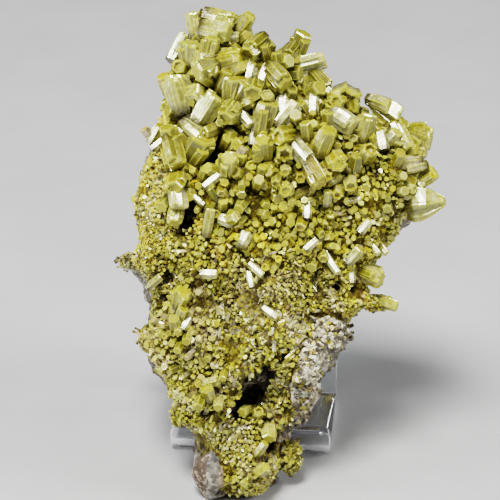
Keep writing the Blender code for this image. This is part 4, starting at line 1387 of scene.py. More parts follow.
@dataclass(frozen=True)
class CrystalFinish:
    """Pyromorphite: greasy, with growth lines, a pale veil of own colour and painted sheen, painted shade on
    some sides and at the roots, and painted highlights on edges.
    """

    name: str
    roughness: float = 0.20
    ior: float = 1.95
    line_strength: float = 0.6
    # How much of the pale colour veils some sides: partly their own milky colour, partly a painted sheen.
    pale_veil_and_sheen: float = 0.55
    # The strength of the painted highlight on edges and tips.
    rim: float = 0.55
    speckle: float = 0.12
    # How dark some sides are painted, as painted shade of faces turned from the light.
    painted_shade_side: float = 0.55
    dull_cap: float = 0.28
    cap_share: float = 0.55
    bump_mm: float = 0.03
    fineness: float = 7.0
    glow: float = 0.1
    glow_depth_mm: float = 0.6
    # Painted shade at the roots: heights up each crystal over which the root colour fades out.
    shaded_root: Pair = (0.22, 0.72)
    # The pale veil's colour: partly own colour, partly painted sheen.
    pale: Colour = (0.50, 0.47, 0.250, 1)
    deep: Colour = (0.17, 0.150, 0.006, 1)
    # The colour of the painted highlight on edges and tips.
    edge: Colour = (0.60, 0.56, 0.110, 1)
    # The colour of the painted shade at the roots.
    root: Colour = (0.050, 0.036, 0.001, 1)
    amber: Colour = (0.36, 0.28, 0.010, 1)
    straw: Colour = (0.46, 0.42, 0.050, 1)
    shine: Colour = (1.0, 0.98, 0.80, 1)
    glow_reach: Triple = (1.0, 0.85, 0.05)
    grain_scale: float = 3600.0
    blotch_scale: float = 1100.0

    def material(self, groups: Groups) -> Material:
        """The finish as a material that reads the piece's tint, growth, local and faces layers.

        Args:
            groups: the shared shader groups.

        Returns:
            The material.
        """
        made, board, shader = fresh_material(self.name)
        tint = board.attribute("tint").outputs["Color"]
        growth = board.add("ShaderNodeSeparateColor", {0: board.attribute("growth").outputs["Color"]})
        up, cap, own = growth.outputs[0], growth.outputs[1], growth.outputs[2]
        side_place = board.add("ShaderNodeUVMap", uv_map="faces").outputs[0]
        around = board.add("ShaderNodeSeparateXYZ", {0: side_place})
        number = board.math("ROUND", board.times(own, 512.0))
        seed = board.add("ShaderNodeCombineXYZ", {0: board.math("FLOOR", around.outputs[0]), 1: number})
        chance = board.add("ShaderNodeTexWhiteNoise", {"Vector": seed.outputs[0]}).outputs["Value"]
        near_edge = board.ranged(board.math("PINGPONG", around.outputs[0], 0.5), 0.02, 0.13, 1.0, 0.0)
        lines = board.add("ShaderNodeGroup", node_tree=groups.lines)
        board.join(board.attribute("local").outputs["Vector"], lines, "Local")
        lines.inputs["Fineness"].default_value = self.fineness
        place = board.add("ShaderNodeTexCoord").outputs["Object"]
        inputs = {"Vector": place, "Grain Scale": self.grain_scale, "Blotch Scale": self.blotch_scale}
        grain = board.add("ShaderNodeGroup", inputs, node_tree=groups.grain)
        side = board.ranged(cap, 0.05, 0.5, 1.0, 0.0)

        # Pale veil on some sides: partly their own milky colour, partly a painted sheen.
        pale = board.times(board.ranged(chance, 0.35, 0.65, 0.08, 1.0), self.pale_veil_and_sheen)
        pale = board.times(pale, board.ranged(lines.outputs["Lines"], 0.0, 1.0, 0.45, 1.0))
        lightness = board.add("ShaderNodeRGBToBW", {0: tint}).outputs[0]
        pale = board.times(pale, board.ranged(lightness, 0.10, 0.34, 0.30, 1.0))
        # Painted shade: some sides dimmed at random, like faces turned from the light.
        shade = board.ranged(chance, 0.05, 0.40, self.painted_shade_side, 1.0)
        dimmed = board.add("ShaderNodeCombineColor", {0: shade, 1: shade, 2: shade}).outputs[0]
        colour = board.mix(side, tint, board.mix(1.0, tint, dimmed, "MULTIPLY"))
        colour = board.mix(board.times(pale, side), colour, self.pale)
        groove = board.ranged(lines.outputs["Height"], 0.36, 0.47, self.line_strength, 0.0)
        colour = board.mix(board.times(groove, side), colour, self.deep)
        colour = board.mix(board.ranged(grain.outputs["Blotch"], 0.1, 0.7, 0.5, 0.0), colour, self.deep)
        speck = board.ranged(grain.outputs["Grain"], 0.0, 1.0, 1 - self.speckle, 1 + 0.85 * self.speckle)
        grey = board.add("ShaderNodeCombineColor", {0: speck, 1: speck, 2: speck})
        colour = board.mix(1.0, colour, grey.outputs[0], "MULTIPLY")
        amber = board.mix(own, self.amber, self.straw)
        colour = board.mix(board.times(board.ranged(cap, 0.3, 1.0), self.cap_share), colour, amber)
        # Painted highlight: edges and tips brightened towards the edge colour.
        at_tip = board.times(board.ranged(up, 0.88, 0.985), board.ranged(cap, 0.2, 0.5, 1.0, 0.0))
        bright = board.times(board.math("MAXIMUM", at_tip, board.times(near_edge, side)), self.rim)
        colour = board.mix(bright, colour, self.edge)
        # Painted shade: the lower part of each crystal darkened towards the root colour.
        colour = board.mix(board.ranged(up, *self.shaded_root, 0.92, 0.0), colour, self.root)
        board.join(colour, shader, "Base Color")
        rough = board.ranged(grain.outputs["Blotch"], 0.0, 1.0, self.roughness - 0.05, self.roughness + 0.16)
        rough = board.math("ADD", rough, board.times(cap, self.dull_cap))
        board.join(rough, shader, "Roughness")
        normal = board.bump(lines.outputs["Height"], 0.5, self.bump_mm * MM)
        normal = board.bump(grain.outputs["Height"], 0.35, 0.03 * MM, normal)
        board.join(normal, shader, "Normal")
        shader.inputs["IOR"].default_value = self.ior
        shader.inputs["Specular Tint"].default_value = self.shine
        shader.inputs["Subsurface Weight"].default_value = self.glow
        shader.inputs["Subsurface Radius"].default_value = self.glow_reach
        shader.inputs["Subsurface Scale"].default_value = self.glow_depth_mm * MM
        return made


@dataclass(frozen=True)
class RockFinish:
    """Rough mineral ground: its own tints, grain, blotches, and small pits, with painted shade on its low
    points.
    """

    name: str
    roughness: float = 0.75
    grain_scale: float = 1500.0
    blotch_scale: float = 260.0
    # dark is the colour of the dark grains, and of the painted shade on low points.
    dark: Colour = (0.06, 0.045, 0.03, 1)
    light: Colour = (0.60, 0.54, 0.42, 1)
    blotch_tint: Colour = (0.5, 0.45, 0.38, 1)
    contrast: float = 0.5
    specular: float = 0.2
    bump_mm: float = 0.16

    def material(self, groups: Groups) -> Material:
        """The finish as a material that reads the piece's tint and growth layers.

        Args:
            groups: the shared shader groups.

        Returns:
            The material.
        """
        made, board, shader = fresh_material(self.name)
        shader.inputs["Specular IOR Level"].default_value = self.specular
        tint = board.attribute("tint").outputs["Color"]
        growth = board.add("ShaderNodeSeparateColor", {0: board.attribute("growth").outputs["Color"]})
        place = board.add("ShaderNodeTexCoord").outputs["Object"]
        inputs = {"Vector": place, "Grain Scale": self.grain_scale, "Blotch Scale": self.blotch_scale}
        grain = board.add("ShaderNodeGroup", inputs, node_tree=groups.grain)
        pale = board.times(board.ranged(grain.outputs["Grain"], 0.55, 0.9), self.contrast)
        colour = board.mix(pale, tint, self.light)
        dark = board.times(board.ranged(grain.outputs["Grain"], 0.42, 0.12), self.contrast * 1.2)
        colour = board.mix(dark, colour, self.dark)
        colour = board.mix(board.times(grain.outputs["Blotch"], 0.45), colour, self.blotch_tint, "MULTIPLY")
        # Painted shade: the low points of the relief are darkened towards the dark colour.
        colour = board.mix(board.ranged(growth.outputs[0], 0.0, 0.5, 0.75, 0.0), colour, self.dark)
        board.join(colour, shader, "Base Color")
        rough = board.ranged(grain.outputs["Grain"], 0, 1, self.roughness - 0.2, self.roughness + 0.12)
        board.join(rough, shader, "Roughness")
        board.join(board.bump(grain.outputs["Height"], 0.8, self.bump_mm * MM), shader, "Normal")
        return made


@dataclass(frozen=True)
class AcrylicFinish:
    """Clear acrylic: see-through, with specks of dust that only dull it."""

    name: str = "clear_acrylic_finish"
    ior: float = 1.49
    roughness: float = 0.03
    dusty: float = 0.16
    colour: Colour = (0.97, 0.985, 1.0, 1)

    def material(self, groups: Groups) -> Material:
        """The finish as a material.

        Args:
            groups: the shared shader groups.

        Returns:
            The material.
        """
        made, board, shader = fresh_material(self.name)
        place = board.add("ShaderNodeTexCoord").outputs["Object"]
        inputs = {"Vector": place, "Grain Scale": 1400.0, "Blotch Scale": 90.0}
        grain = board.add("ShaderNodeGroup", inputs, node_tree=groups.grain)
        dust = board.ranged(grain.outputs["Grain"], 0.94, 1.0, self.roughness, self.dusty)
        board.join(dust, shader, "Roughness")
        shader.inputs["Base Color"].default_value = self.colour
        shader.inputs["Transmission Weight"].default_value = 1.0
        shader.inputs["IOR"].default_value = self.ior
        return made


@dataclass(frozen=True)
class FloorFinish:
    """A plain pale matt surface with the faintest mottling."""

    name: str = "pale_floor_finish"
    colour: Colour = (0.50, 0.505, 0.515, 1)
    mottle: float = 0.94
    roughness: float = 0.6

    def material(self, groups: Groups) -> Material:
        """The finish as a material.

        Args:
            groups: the shared shader groups.

        Returns:
            The material.
        """
        made, board, shader = fresh_material(self.name)
        place = board.add("ShaderNodeTexCoord").outputs["Object"]
        inputs = {"Vector": place, "Grain Scale": 1500.0, "Blotch Scale": 30.0}
        grain = board.add("ShaderNodeGroup", inputs, node_tree=groups.grain)
        darker = tuple(self.mottle * part for part in self.colour[:3]) + (1,)
        board.join(board.mix(grain.outputs["Blotch"], self.colour, darker), shader, "Base Color")
        shader.inputs["Roughness"].default_value = self.roughness
        return made


@dataclass(frozen=True)
class Crust:
    """The druse that the crystals stand in: the body's skin raised into small rounded cells."""

    body: Body
    rows: int = 220
    around: int = 220
    cluster_grid: tuple[int, int] = (36, 48)
    front_bias: float = 0.55
    cell_sizes: Pair = (1.5, 0.75)
    cell_heights: Pair = (0.75, 0.35)
    sunk: float = 0.75
    # Painted shade: factors that darken the crust's tint, so that it reads as the shaded gaps between
    # crystals.
    shade: Triple = (0.26, 0.235, 0.15)

    def lumps(self, points: Array) -> tuple[Array, Array]:
        """Height of the cells at points, domes over scattered seeds, and how high each point is, 0 to 1."""
        domes = [height * np.clip(1 - cell_field(points, size, 21)[0] ** 2, 0, 1)
                 for size, height in zip(self.cell_sizes, self.cell_heights)]
        return sum(domes) - self.sunk, sum(domes) / sum(self.cell_heights)

    def skin(self, surface: Surface, rows: int, around: int, growth: Growth, seed: int) -> MeshArrays:
        """One surface as a closed lumpy mesh, tinted by the zones it crosses and darkened by painted shade.

        Args:
            surface: what is raised into cells.
            rows: rings from end to end.
            around: points in a ring.
            growth: what grows where.
            seed: where its chances start.

        Returns:
            The mesh.
        """
        rng = np.random.default_rng(seed)
        share = np.arange(around) / around * 2 * math.pi
        turn = share - self.front_bias * np.cos(share)
        u, turn = np.meshgrid(np.linspace(0, 1, rows), turn, indexing="ij")
        grid = surface.points(u.reshape(-1), turn.reshape(-1)).reshape(rows, around, 3)
        flat = grid.reshape(-1, 3)
        height, high = self.lumps(flat)
        pocket = bells(flat, POCKETS) * smooth_step(-np.sin(turn.reshape(-1)), 0.0, 0.4)
        moved = flat + grid_normals(grid).reshape(-1, 3) * (height - pocket)[:, None]
        own = cell_field(flat, self.cell_sizes[0], 21)[1]
        zone = growth.zone_of(flat, rng)
        # Painted shade: the zones' tints darkened by the crust's shade factors.
        tint = growth.tints(flat, zone, np.random.default_rng(seed + 1)) * np.array(self.shade)
        # Each cell lighter or darker at random, and painted shade that darkens the pockets.
        blotch = (0.6 + 0.8 * own) * (1 - 0.85 * smooth_step(pocket, 0.3, 1.4))
        corners, starts = grid_faces(rows, around)
        layers = np.stack([high, np.zeros(len(flat)), own], axis=1)
        return MeshArrays(moved, corners, starts, tint * blotch[:, None], layers, flat / 2,
                          np.zeros((len(corners), 2)))

    def mesh(self, growth: Growth) -> MeshArrays:
        """The whole crust with its rounded clusters."""
        parts = [self.skin(self.body, self.rows, self.around, growth, Seed.CRUST)]
        for index, cluster in enumerate(CLUSTERS):
            parts.append(self.skin(cluster, *self.cluster_grid, growth, Seed.CLUSTER_CRUST + index))
        return MeshArrays.joined(parts)


@dataclass(frozen=True)
class Rock:
    """The vein rock: ledges and broken faces behind, and the bare slab and pale band in front."""

    surface: RockBody
    rows: int = 270
    around: int = 290
    ledge_height: float = 1.1
    ledge_size: float = 7.0
    facet_size: float = 3.2
    facet_height: float = 0.6
    crumb_size: float = 1.3
    crumb_height: float = 0.35
    pit_size: float = 2.6
    pit_depth: float = 1.2
    sunk: float = 0.35
    slab_pixel: Pair = (208, 470)
    slab_radii: Pair = (3.4, 6.4)
    slab_calm: float = 0.75

    def relief(self, points: Array) -> tuple[Array, Array]:
        """Height of the broken surface: flat-topped ledges, facets of a cell field and fine crumbs.

        Args:
            points: places in the face frame.

        Returns:
            Heights in millimetres, and how high each point is, 0 to 1.
        """
        broad = layered_noise(points * np.array([1, 1, 0.8]), self.ledge_size, 51, 3)
        ledges = np.floor(broad * 4) / 4 + smooth_step(broad * 4 - np.floor(broad * 4), 0.55, 1.0) / 4
        near, own, _away = cell_field(points, self.facet_size, 55)
        facets = (0.5 - own) * 0.7 - 0.5 * smooth_step(near, 0.55, 1.0)
        crumbs = layered_noise(points, self.crumb_size, 61, 3)
        pits = smooth_step(layered_noise(points, self.pit_size, 71, 2), 0.62, 0.95)
        height = self.ledge_height * ledges + self.facet_height * facets
        height = height + self.crumb_height * crumbs - self.pit_depth * pits
        return height - self.sunk, np.clip(0.62 + 0.4 * facets + 0.35 * crumbs - 0.8 * pits, 0, 1)

    def flatness(self, points: Array) -> Array:
        """1 on the toe's flat slab, falling to 0 round it."""
        x, z = FACE.spot(*self.slab_pixel)
        across, up = (points[:, 0] - x) / self.slab_radii[0], (points[:, 2] - z) / self.slab_radii[1]
        return smooth_step(across**2 + up**2, 1.3, 0.6)

    def tints(self, points: Array, turn: Array) -> Array:
        """Grey-brown rock with rust, pale veins, the named stains where the front is bare, and painted shade
        in the pockets.

        Args:
            points: places in the face frame.
            turn: the turn of each round the rock.

        Returns:
            One linear colour for each point.
        """
        broad = layered_noise(points, 14.0, 81, 4)
        rust = smooth_step(broad, 0.05, 0.6)[:, None]
        tint = np.array(Tone.GREY.value) * (1 - rust) + np.array(Tone.BROWN.value) * rust
        iron = smooth_step(layered_noise(points, 8.0, 85, 3), 0.35, 0.75)[:, None]
        tint = tint * (1 - iron) + np.array(Tone.RUST.value) * iron
        streak = np.abs(layered_noise(points * np.array([1, 1, 0.5]), 16.0, 91, 3))
        vein = (smooth_step(streak, 0.10, 0.02) * 0.8)[:, None]
        tint = tint * (1 - vein) + np.array(Tone.BLUSH.value) * vein
        front = smooth_step(-np.sin(turn), -0.1, 0.2)
        for _name, pixel_x, pixel_y, radius_x, radius_z, tone in STAINS:
            x, z = FACE.spot(pixel_x, pixel_y)
            far = ((points[:, 0] - x) / radius_x) ** 2 + ((points[:, 2] - z) / radius_z) ** 2
            ragged = far + 0.5 * layered_noise(points, 2.4, 95, 3)
            share = (smooth_step(ragged, 1.3, 0.5) * front)[:, None]
            tint = tint * (1 - share) + np.array(tone.value) * share
        # Painted shade: the front is darkened in the pockets.
        dark = smooth_step(bells(points, POCKETS), 0.3, 1.4) * front
        return tint * (1 - 0.85 * dark)[:, None]

    def mesh(self) -> MeshArrays:
        """The rock as a closed mesh."""
        turn = np.arange(self.around) / self.around * 2 * math.pi
        u, turn = np.meshgrid(np.linspace(0, 1, self.rows), turn, indexing="ij")
        grid = self.surface.points(u.reshape(-1), turn.reshape(-1)).reshape(self.rows, self.around, 3)
        flat = grid.reshape(-1, 3)
        height, high = self.relief(flat)
        near_end = smooth_step(u.reshape(-1), 0.0, 0.05) * smooth_step(u.reshape(-1), 1.0, 0.985)
        height = height * near_end * (1 - self.slab_calm * self.flatness(flat))
        moved = flat + grid_normals(grid).reshape(-1, 3) * height[:, None]
        corners, starts = grid_faces(self.rows, self.around)
        layers = np.stack([high, np.zeros(len(flat)), np.zeros(len(flat))], axis=1)
        return MeshArrays(moved, corners, starts, self.tints(flat, turn.reshape(-1)), layers, flat / 2,
                          np.zeros((len(corners), 2)))


@dataclass(frozen=True)
class PlacedCrystals:
    """The crystals placed one by one. A white one is turned so that a flat face mirrors the key light."""

    body: Body
    sink: float = 0.42
    tip_lift: float = 0.42
    light_way: Triple = (-0.086, -0.675, 0.732)
    lightness_range: Pair = (0.85, 1.12)
    astray_white: float = 0.03
    astray_pale: float = 0.08
    astray: float = 0.2

    def batch(self, rows: tuple[Placed, ...], seed: int) -> Batch:
        """The rows as a batch, each half sunk in the crust.

        Args:
            rows: the crystals' settings.
            seed: where their chances start.

        Returns:
            The crystals.
        """
        rng = np.random.default_rng(seed)
        heading = np.radians([row.heading for row in rows])
        facing = np.radians([row.facing for row in rows])
        # The white crystals carry a painted highlight in their tint, and are turned to glint.
        white = np.array([row.tone is Tone.WHITE for row in rows])
        light = FACE.from_world(self.light_way)
        glinting = np.arctan((light[0] * np.cos(heading) + light[2] * np.sin(heading)) / light[1])
        facing = np.where(white, glinting, facing)
        flat = np.cos(facing)
        along = np.stack([flat * np.cos(heading), -np.sin(facing), flat * np.sin(heading)], axis=1)
        spots = np.array([FACE.spot(row.pixel_x, row.pixel_y) for row in rows])
        width = np.array([row.width for row in rows])
        length = np.array([row.length for row in rows])
        front = np.array([self.body.front(x, min(z, self.body.height() - 1)) for x, z in spots])
        lift = (0.5 - self.sink) * width + self.tip_lift * length * np.sin(facing)
        middle = np.stack([spots[:, 0], front - lift, spots[:, 1]], axis=1)
        # Painted shade: the SHADY bells darken every tint but the white crystals'.
        shade = np.where(white, 1.0, np.exp(-bells(middle, SHADY)))
        lightness = rng.uniform(*self.lightness_range, len(rows)) * shade
        tint = np.array([row.tone.value for row in rows]) * lightness[:, None]
        batch = Batch(middle, along, width, length, np.array([row.flare for row in rows]),
                      np.array([row.bend for row in rows]), np.zeros(len(rows)),
                      np.array([row.hopper for row in rows]), np.array([row.bulge for row in rows]), tint)
        side, toward = batch.axes()
        glint = np.arctan2(toward @ light, side @ light) - math.pi / 6
        pale = np.array([row.tone is Tone.PALE_GREEN for row in rows])
        astray = np.where(white, self.astray_white, np.where(pale, self.astray_pale, self.astray))
        batch.spin = glint + np.where(white | pale, 0.0, math.pi / 6) + astray * rng.normal(size=len(rows))
        return batch


@dataclass(frozen=True)
class SownCrystals:
    """Crystals sown over a surface by rule: their size, slenderness, splay and tint come from the zones."""

    growth: Growth
    rock: RockBody
    tries: int = 300000
    cluster_tries: int = 2500
    closeness: float = 0.92
    clear_of_placed: float = 0.50
    rosette_mm: float = 3.6
    gap_mm: float = 2.4
    gap_below: float = -0.66
    gap_when_loose: float = 0.38
    cluster_edge: float = -0.2
    rosette_pull: float = 1.3
    axis_jitter: float = 0.55
    edge_least: float = 0.12
    bare_most: float = 0.35
    ragged_height: float = 0.18
    pocket_most: float = 1.1
    floor_gap_mm: float = 1.6
    spread_range: Pair = (-0.6, 0.32)
    length_range: Pair = (0.75, 1.35)
    proud_range: Pair = (0.0, 0.42)
    hopper_share: float = 0.30
    hopper_range: Pair = (0.06, 0.22)
    flare_spread: float = 0.07
    bend_spread: float = 0.03
    bulge_most: float = 0.2

    def crusted(self, surface: Body, points: Array, turn: Array) -> Array:
        """Which points of the body bear crystals: in front, and off bare rock, pockets and the floor.

        Args:
            surface: the body.
            points: places on it.
            turn: the turn of each round the body.

        Returns:
            True for the points that do.
        """
        bare = surface.bareness(points[:, 0], points[:, 2]) * smooth_step(-np.sin(turn), -0.2, 0.1)
        ragged = self.ragged_height * layered_noise(points, 4.0, 101, 3)
        keep = (self.rock.wrapped(turn) > self.edge_least + ragged) & (bare + ragged < self.bare_most)
        keep &= bells(points, POCKETS) + 3 * ragged < self.pocket_most
        return keep & ((points @ FACE.lean().T)[:, 2] + FACE.toe_place_mm[2] > self.floor_gap_mm)

    def clear(self, points: Array, placed: Batch) -> Array:
        """Which points lie clear of the crystals that already stand there: off each one's axis by its width.

        Args:
            points: places on the surface.
            placed: the crystals.

        Returns:
            True for the points that do.
        """
        free = np.ones(len(points), bool)
        for middle, along, width, length in zip(placed.middle, placed.along, placed.width, placed.length):
            apart = points - middle
            run = np.clip(apart @ along, -length / 2, length / 2)
            gap = np.linalg.norm(apart - run[:, None] * along, axis=1)
            free &= gap > width * self.clear_of_placed
        return free

    def over(self, surface: Surface, tries: int, placed: Batch | None, seed: int) -> Batch:
        """The crystals on one surface.

        Args:
            surface: what they stand on.
            tries: how many places are tried.
            placed: crystals that already stand there.
            seed: the source of chance.

        Returns:
            The sown crystals.
        """
        rng = np.random.default_rng(seed)
        points, normals, turn = scattered(surface, tries, rng)
        if isinstance(surface, Body):
            keep = self.crusted(surface, points, turn)
        else:
            keep = normals[:, 1] < self.cluster_edge
        points, normals = points[keep], normals[keep]
        if placed is not None:
            free = self.clear(points, placed)
            points, normals = points[free], normals[free]
        zone = self.growth.zone_of(points, rng)
        loose = np.minimum(self.growth.values("splay", zone), 1.0)
        full = layered_noise(points, self.gap_mm, 109, 2) > self.gap_below + self.gap_when_loose * loose
        points, normals, zone = points[full], normals[full], zone[full]
        spread = self.growth.width_spread * (rng.normal(size=len(zone)) + value_noise(points, 4.0, 105))
        width = self.growth.values("width", zone) * np.exp(spread.clip(*self.spread_range))
        kept = spaced(points, width * self.closeness)
        points, normals, zone, width = points[kept], normals[kept], zone[kept], width[kept]
        away = cell_field(points, self.rosette_mm, 107)[2]
        splay = self.rosette_pull * away + self.axis_jitter * rng.normal(size=(len(zone), 3))
        along = unit(normals + self.growth.values("splay", zone)[:, None] * splay)
        length = width * self.growth.values("slenderness", zone) * rng.uniform(*self.length_range, len(zone))
        reach = 0.25 + 0.75 * np.clip(-normals[:, 1], 0, 1)
        length *= 0.35 + 0.65 * reach
        middle = points + along * (length * reach * rng.uniform(*self.proud_range, len(zone)))[:, None]
        hollow = rng.random(len(zone)) < self.hopper_share
        hopper = np.where(hollow, rng.uniform(*self.hopper_range, len(zone)), 0.0)
        flare = rng.normal(0, self.flare_spread, len(zone))
        bend = rng.normal(0, self.bend_spread, len(zone))
        spin = rng.uniform(0, math.pi, len(zone))
        bulge = rng.uniform(0.0, self.bulge_most, len(zone))
        tint = self.growth.tints(points, zone, rng)
        return Batch(middle, along, width, length, flare, bend, spin, hopper, bulge, tint)


@dataclass(frozen=True)
class Sheaf:
    """Smaller crystals grown onto each large one, a little turned from it, so that it reads as a bundle."""

    each: int = 3
    least_width: float = 2.3
    reach: Pair = (0.30, 0.46)
    thinner: Pair = (0.42, 0.68)
    shorter: Pair = (0.66, 1.0)
    turned: float = 0.16
    stray: float = 0.12
    slip: Pair = (-0.22, 0.06)
    lightness_range: Pair = (0.8, 1.15)

    def around(self, batch: Batch, seed: int) -> Batch:
        """The bundle's smaller crystals, spread evenly round the near side of each large one.

        Args:
            batch: the large crystals.
            seed: where the chances start.

        Returns:
            The smaller crystals.
        """
        rng = np.random.default_rng(seed)
        wide = batch.chosen((batch.width > self.least_width) & (batch.hopper < 0.2) & (batch.bulge < 0.3))
        own = np.repeat(np.arange(len(wide.width)), self.each)
        main = wide.chosen(own)
        side, toward = main.axes()
        place = np.tile(np.arange(self.each), len(wide.width)) / self.each
        place = place + rng.uniform(-self.stray, self.stray, len(own))
        angle = 2 * math.pi * place + np.repeat(rng.uniform(0, 6, len(wide.width)), self.each)
        way = side * np.cos(angle)[:, None] + toward * np.sin(angle)[:, None]
        reach = rng.uniform(*self.reach, len(own)) * main.width
        slip = rng.uniform(*self.slip, len(own)) * main.length
        turned = self.turned * rng.uniform(0.2, 1, len(own)) + 1.2 * np.maximum(main.flare, 0)
        along = unit(main.along + way * turned[:, None])
        middle = main.middle + way * reach[:, None] + main.along * slip[:, None]
        length = main.length * rng.uniform(*self.shorter, len(own))
        tint = main.tint * rng.uniform(*self.lightness_range, len(own))[:, None]
        return Batch(middle, along, main.width * rng.uniform(*self.thinner, len(own)), length,
                     main.flare * 0.5, main.bend, main.spin + rng.normal(0, 0.15, len(own)),
                     main.hopper * 0.5, main.bulge, tint)


def joined_batches(batches: list[Batch]) -> Batch:
    """Several batches as one."""
    return Batch(*(np.concatenate(values) for values in zip(*(vars(batch).values() for batch in batches))))


@dataclass(frozen=True)
class PaleGrains:
    """Small blocky white and cream grains over the bare band of the rock."""

    rock: RockBody
    tries: int = 60000
    lowest: float = 12.0
    width: float = 0.50
    width_spread: float = 0.35
    spread_range: Pair = (-2, 1.6)
    closeness: float = 0.8
    stray: float = 0.9
    length_range: Pair = (0.6, 1.0)
    lightness_range: Pair = (1.05, 1.55)
    proud: float = 0.1
    tones: tuple[Tone, ...] = (Tone.CREAM, Tone.CHALK, Tone.BLUSH, Tone.TAN, Tone.YELLOW_GREEN)
    chances: tuple[float, ...] = (0.20, 0.56, 0.08, 0.08, 0.08)

    def batch(self, seed: int) -> Batch:
        """The grains as very short crystals pointing every way.

        Args:
            seed: where their chances start.

        Returns:
            The grains.
        """
        rng = np.random.default_rng(seed)
        points, normals, turn = scattered(self.rock, self.tries, rng)
        body = self.rock.body
        bare = body.bareness(points[:, 0], points[:, 2]) * smooth_step(-np.sin(turn), -0.1, 0.1)
        keep = (bare > 0.15) & (points[:, 2] > self.lowest)
        points, normals = points[keep], normals[keep]
        spread = rng.normal(size=len(points)).clip(*self.spread_range)
        width = self.width * np.exp(self.width_spread * spread)
        kept = spaced(points, width * self.closeness)
        points, normals, width = points[kept], normals[kept], width[kept]
        count = len(points)
        tone = rng.choice(len(self.tones), count, p=self.chances)
        tint = np.array([each.value for each in self.tones])[tone]
        tint = tint * rng.uniform(*self.lightness_range, count)[:, None]
        along = unit(normals + self.stray * rng.normal(size=(count, 3)))
        length = width * rng.uniform(*self.length_range, count)
        flare = rng.normal(0, 0.1, count)
        spin = rng.uniform(0, math.pi, count)
        none = np.zeros(count)
        return Batch(points + normals * self.proud, along, width, length, flare, none, spin, none, none, tint)


@dataclass(frozen=True)
class Easel:
    """One sheet of clear acrylic bent into a J: a low lip, a base and a tall back."""

    sheet: float = 2.4
    width: float = 32.0
    depth: float = 26.0
    lip_height: float = 6.6
    back_height: float = 42.0
    back_lean: float = math.radians(7.9)
    bend_radius: float = 1.6
    corner_radius: float = 2.2
    edge_radius: float = 0.3
    turn: float = math.radians(-5)
    bend_steps: int = 14
    edge_steps: int = 5
    corner_steps: int = 9
    sharp_angle: float = math.radians(40)

    def line(self) -> Array:
        """The sheet's middle line in Y and Z: down the lip, along the base and up the back, with bends.

        Returns:
            Points of the line, two numbers to a row.
        """
        half = self.depth / 2 - self.sheet / 2
        radius = self.bend_radius + self.sheet / 2
        level = self.sheet / 2 + radius
        first = math.pi + np.linspace(0, math.pi / 2, self.bend_steps)
        front = np.stack([-half + radius + radius * np.cos(first), level + radius * np.sin(first)], axis=1)
        second = -math.pi / 2 + np.linspace(0, math.pi / 2 - self.back_lean, self.bend_steps)
        back = np.stack([half - radius + radius * np.cos(second), level + radius * np.sin(second)], axis=1)
        rise = self.back_height - back[-1, 1]
        top = [[back[-1, 0] + rise * math.tan(self.back_lean), self.back_height]]
        return np.concatenate([[[-half, self.lip_height]], front, back, top])

    def stations(self) -> tuple[Array, Array, Array]:
        """Points along the middle line, closer at its ends, with normals and the run from the nearer end.

        Returns:
            Points, normals and runs, one row each.
        """
        line = self.line()
        run = np.concatenate([[0], np.cumsum(np.linalg.norm(np.diff(line, axis=0), axis=1))])
        rounding = self.edge_radius * (1 - np.cos(np.linspace(0, math.pi / 2, self.edge_steps)))
        corner = np.linspace(self.edge_radius, self.corner_radius, self.corner_steps)[1:]
        near = np.concatenate([rounding, corner])
        places = np.unique(np.round(np.concatenate([near, run[1:-1], run[-1] - near]), 6))
        points = np.stack([np.interp(places, run, line[:, 0]), np.interp(places, run, line[:, 1])], axis=1)
        step = unit(np.gradient(points, places, axis=0))
        return points, np.stack([-step[:, 1], step[:, 0]], axis=1), np.minimum(places, run[-1] - places)

    def mesh_points(self) -> Array:
        """Rings along the sheet: rounded slots as wide as the sheet is there, narrower at its corners.

        The half width falls along a quarter circle at the four corners, and the half thickness along a
        smaller one at the two ends.
        """
        points, normals, run = self.stations()
        short = np.clip(self.corner_radius - run, 0, self.corner_radius)
        half_width = self.width / 2 - self.corner_radius + np.sqrt(self.corner_radius**2 - short**2)
        thin = np.clip(self.edge_radius - run, 0, self.edge_radius)
        half_sheet = self.sheet / 2 - self.edge_radius + np.sqrt(self.edge_radius**2 - thin**2)
        arc = np.linspace(0, math.pi / 2, self.edge_steps)
        corner = np.concatenate([arc + quarter * math.pi / 2 for quarter in range(4)])
        right = np.repeat([1, -1, -1, 1], self.edge_steps)
        up = np.repeat([1, 1, -1, -1], self.edge_steps)
        reach = right[None] * (half_width - self.edge_radius)[:, None] + self.edge_radius * np.cos(corner)
        offset = up[None] * (half_sheet - self.edge_radius)[:, None] + self.edge_radius * np.sin(corner)
        y = points[:, :1] + normals[:, :1] * offset
        z = points[:, 1:] + normals[:, 1:] * offset
        x = reach * math.cos(self.turn) - y * math.sin(self.turn)
        y = reach * math.sin(self.turn) + y * math.cos(self.turn)
        return np.stack([x, y, z], axis=-1)

    def build(self, finish: Material) -> None:
        """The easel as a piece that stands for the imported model's node.

        Args:
            finish: its material.
        """
        name = "bent_acrylic_easel"
        rings = self.mesh_points()
        corners, starts = grid_faces(*rings.shape[:2])
        data = mesh_data(name, rings.reshape(-1, 3) * MM, corners, starts, finish)
        data.shade_smooth()
        data.set_sharp_from_angle(angle=self.sharp_angle)
        data.validate()
        stand_for(shown(name, data), "acrylic_easel")


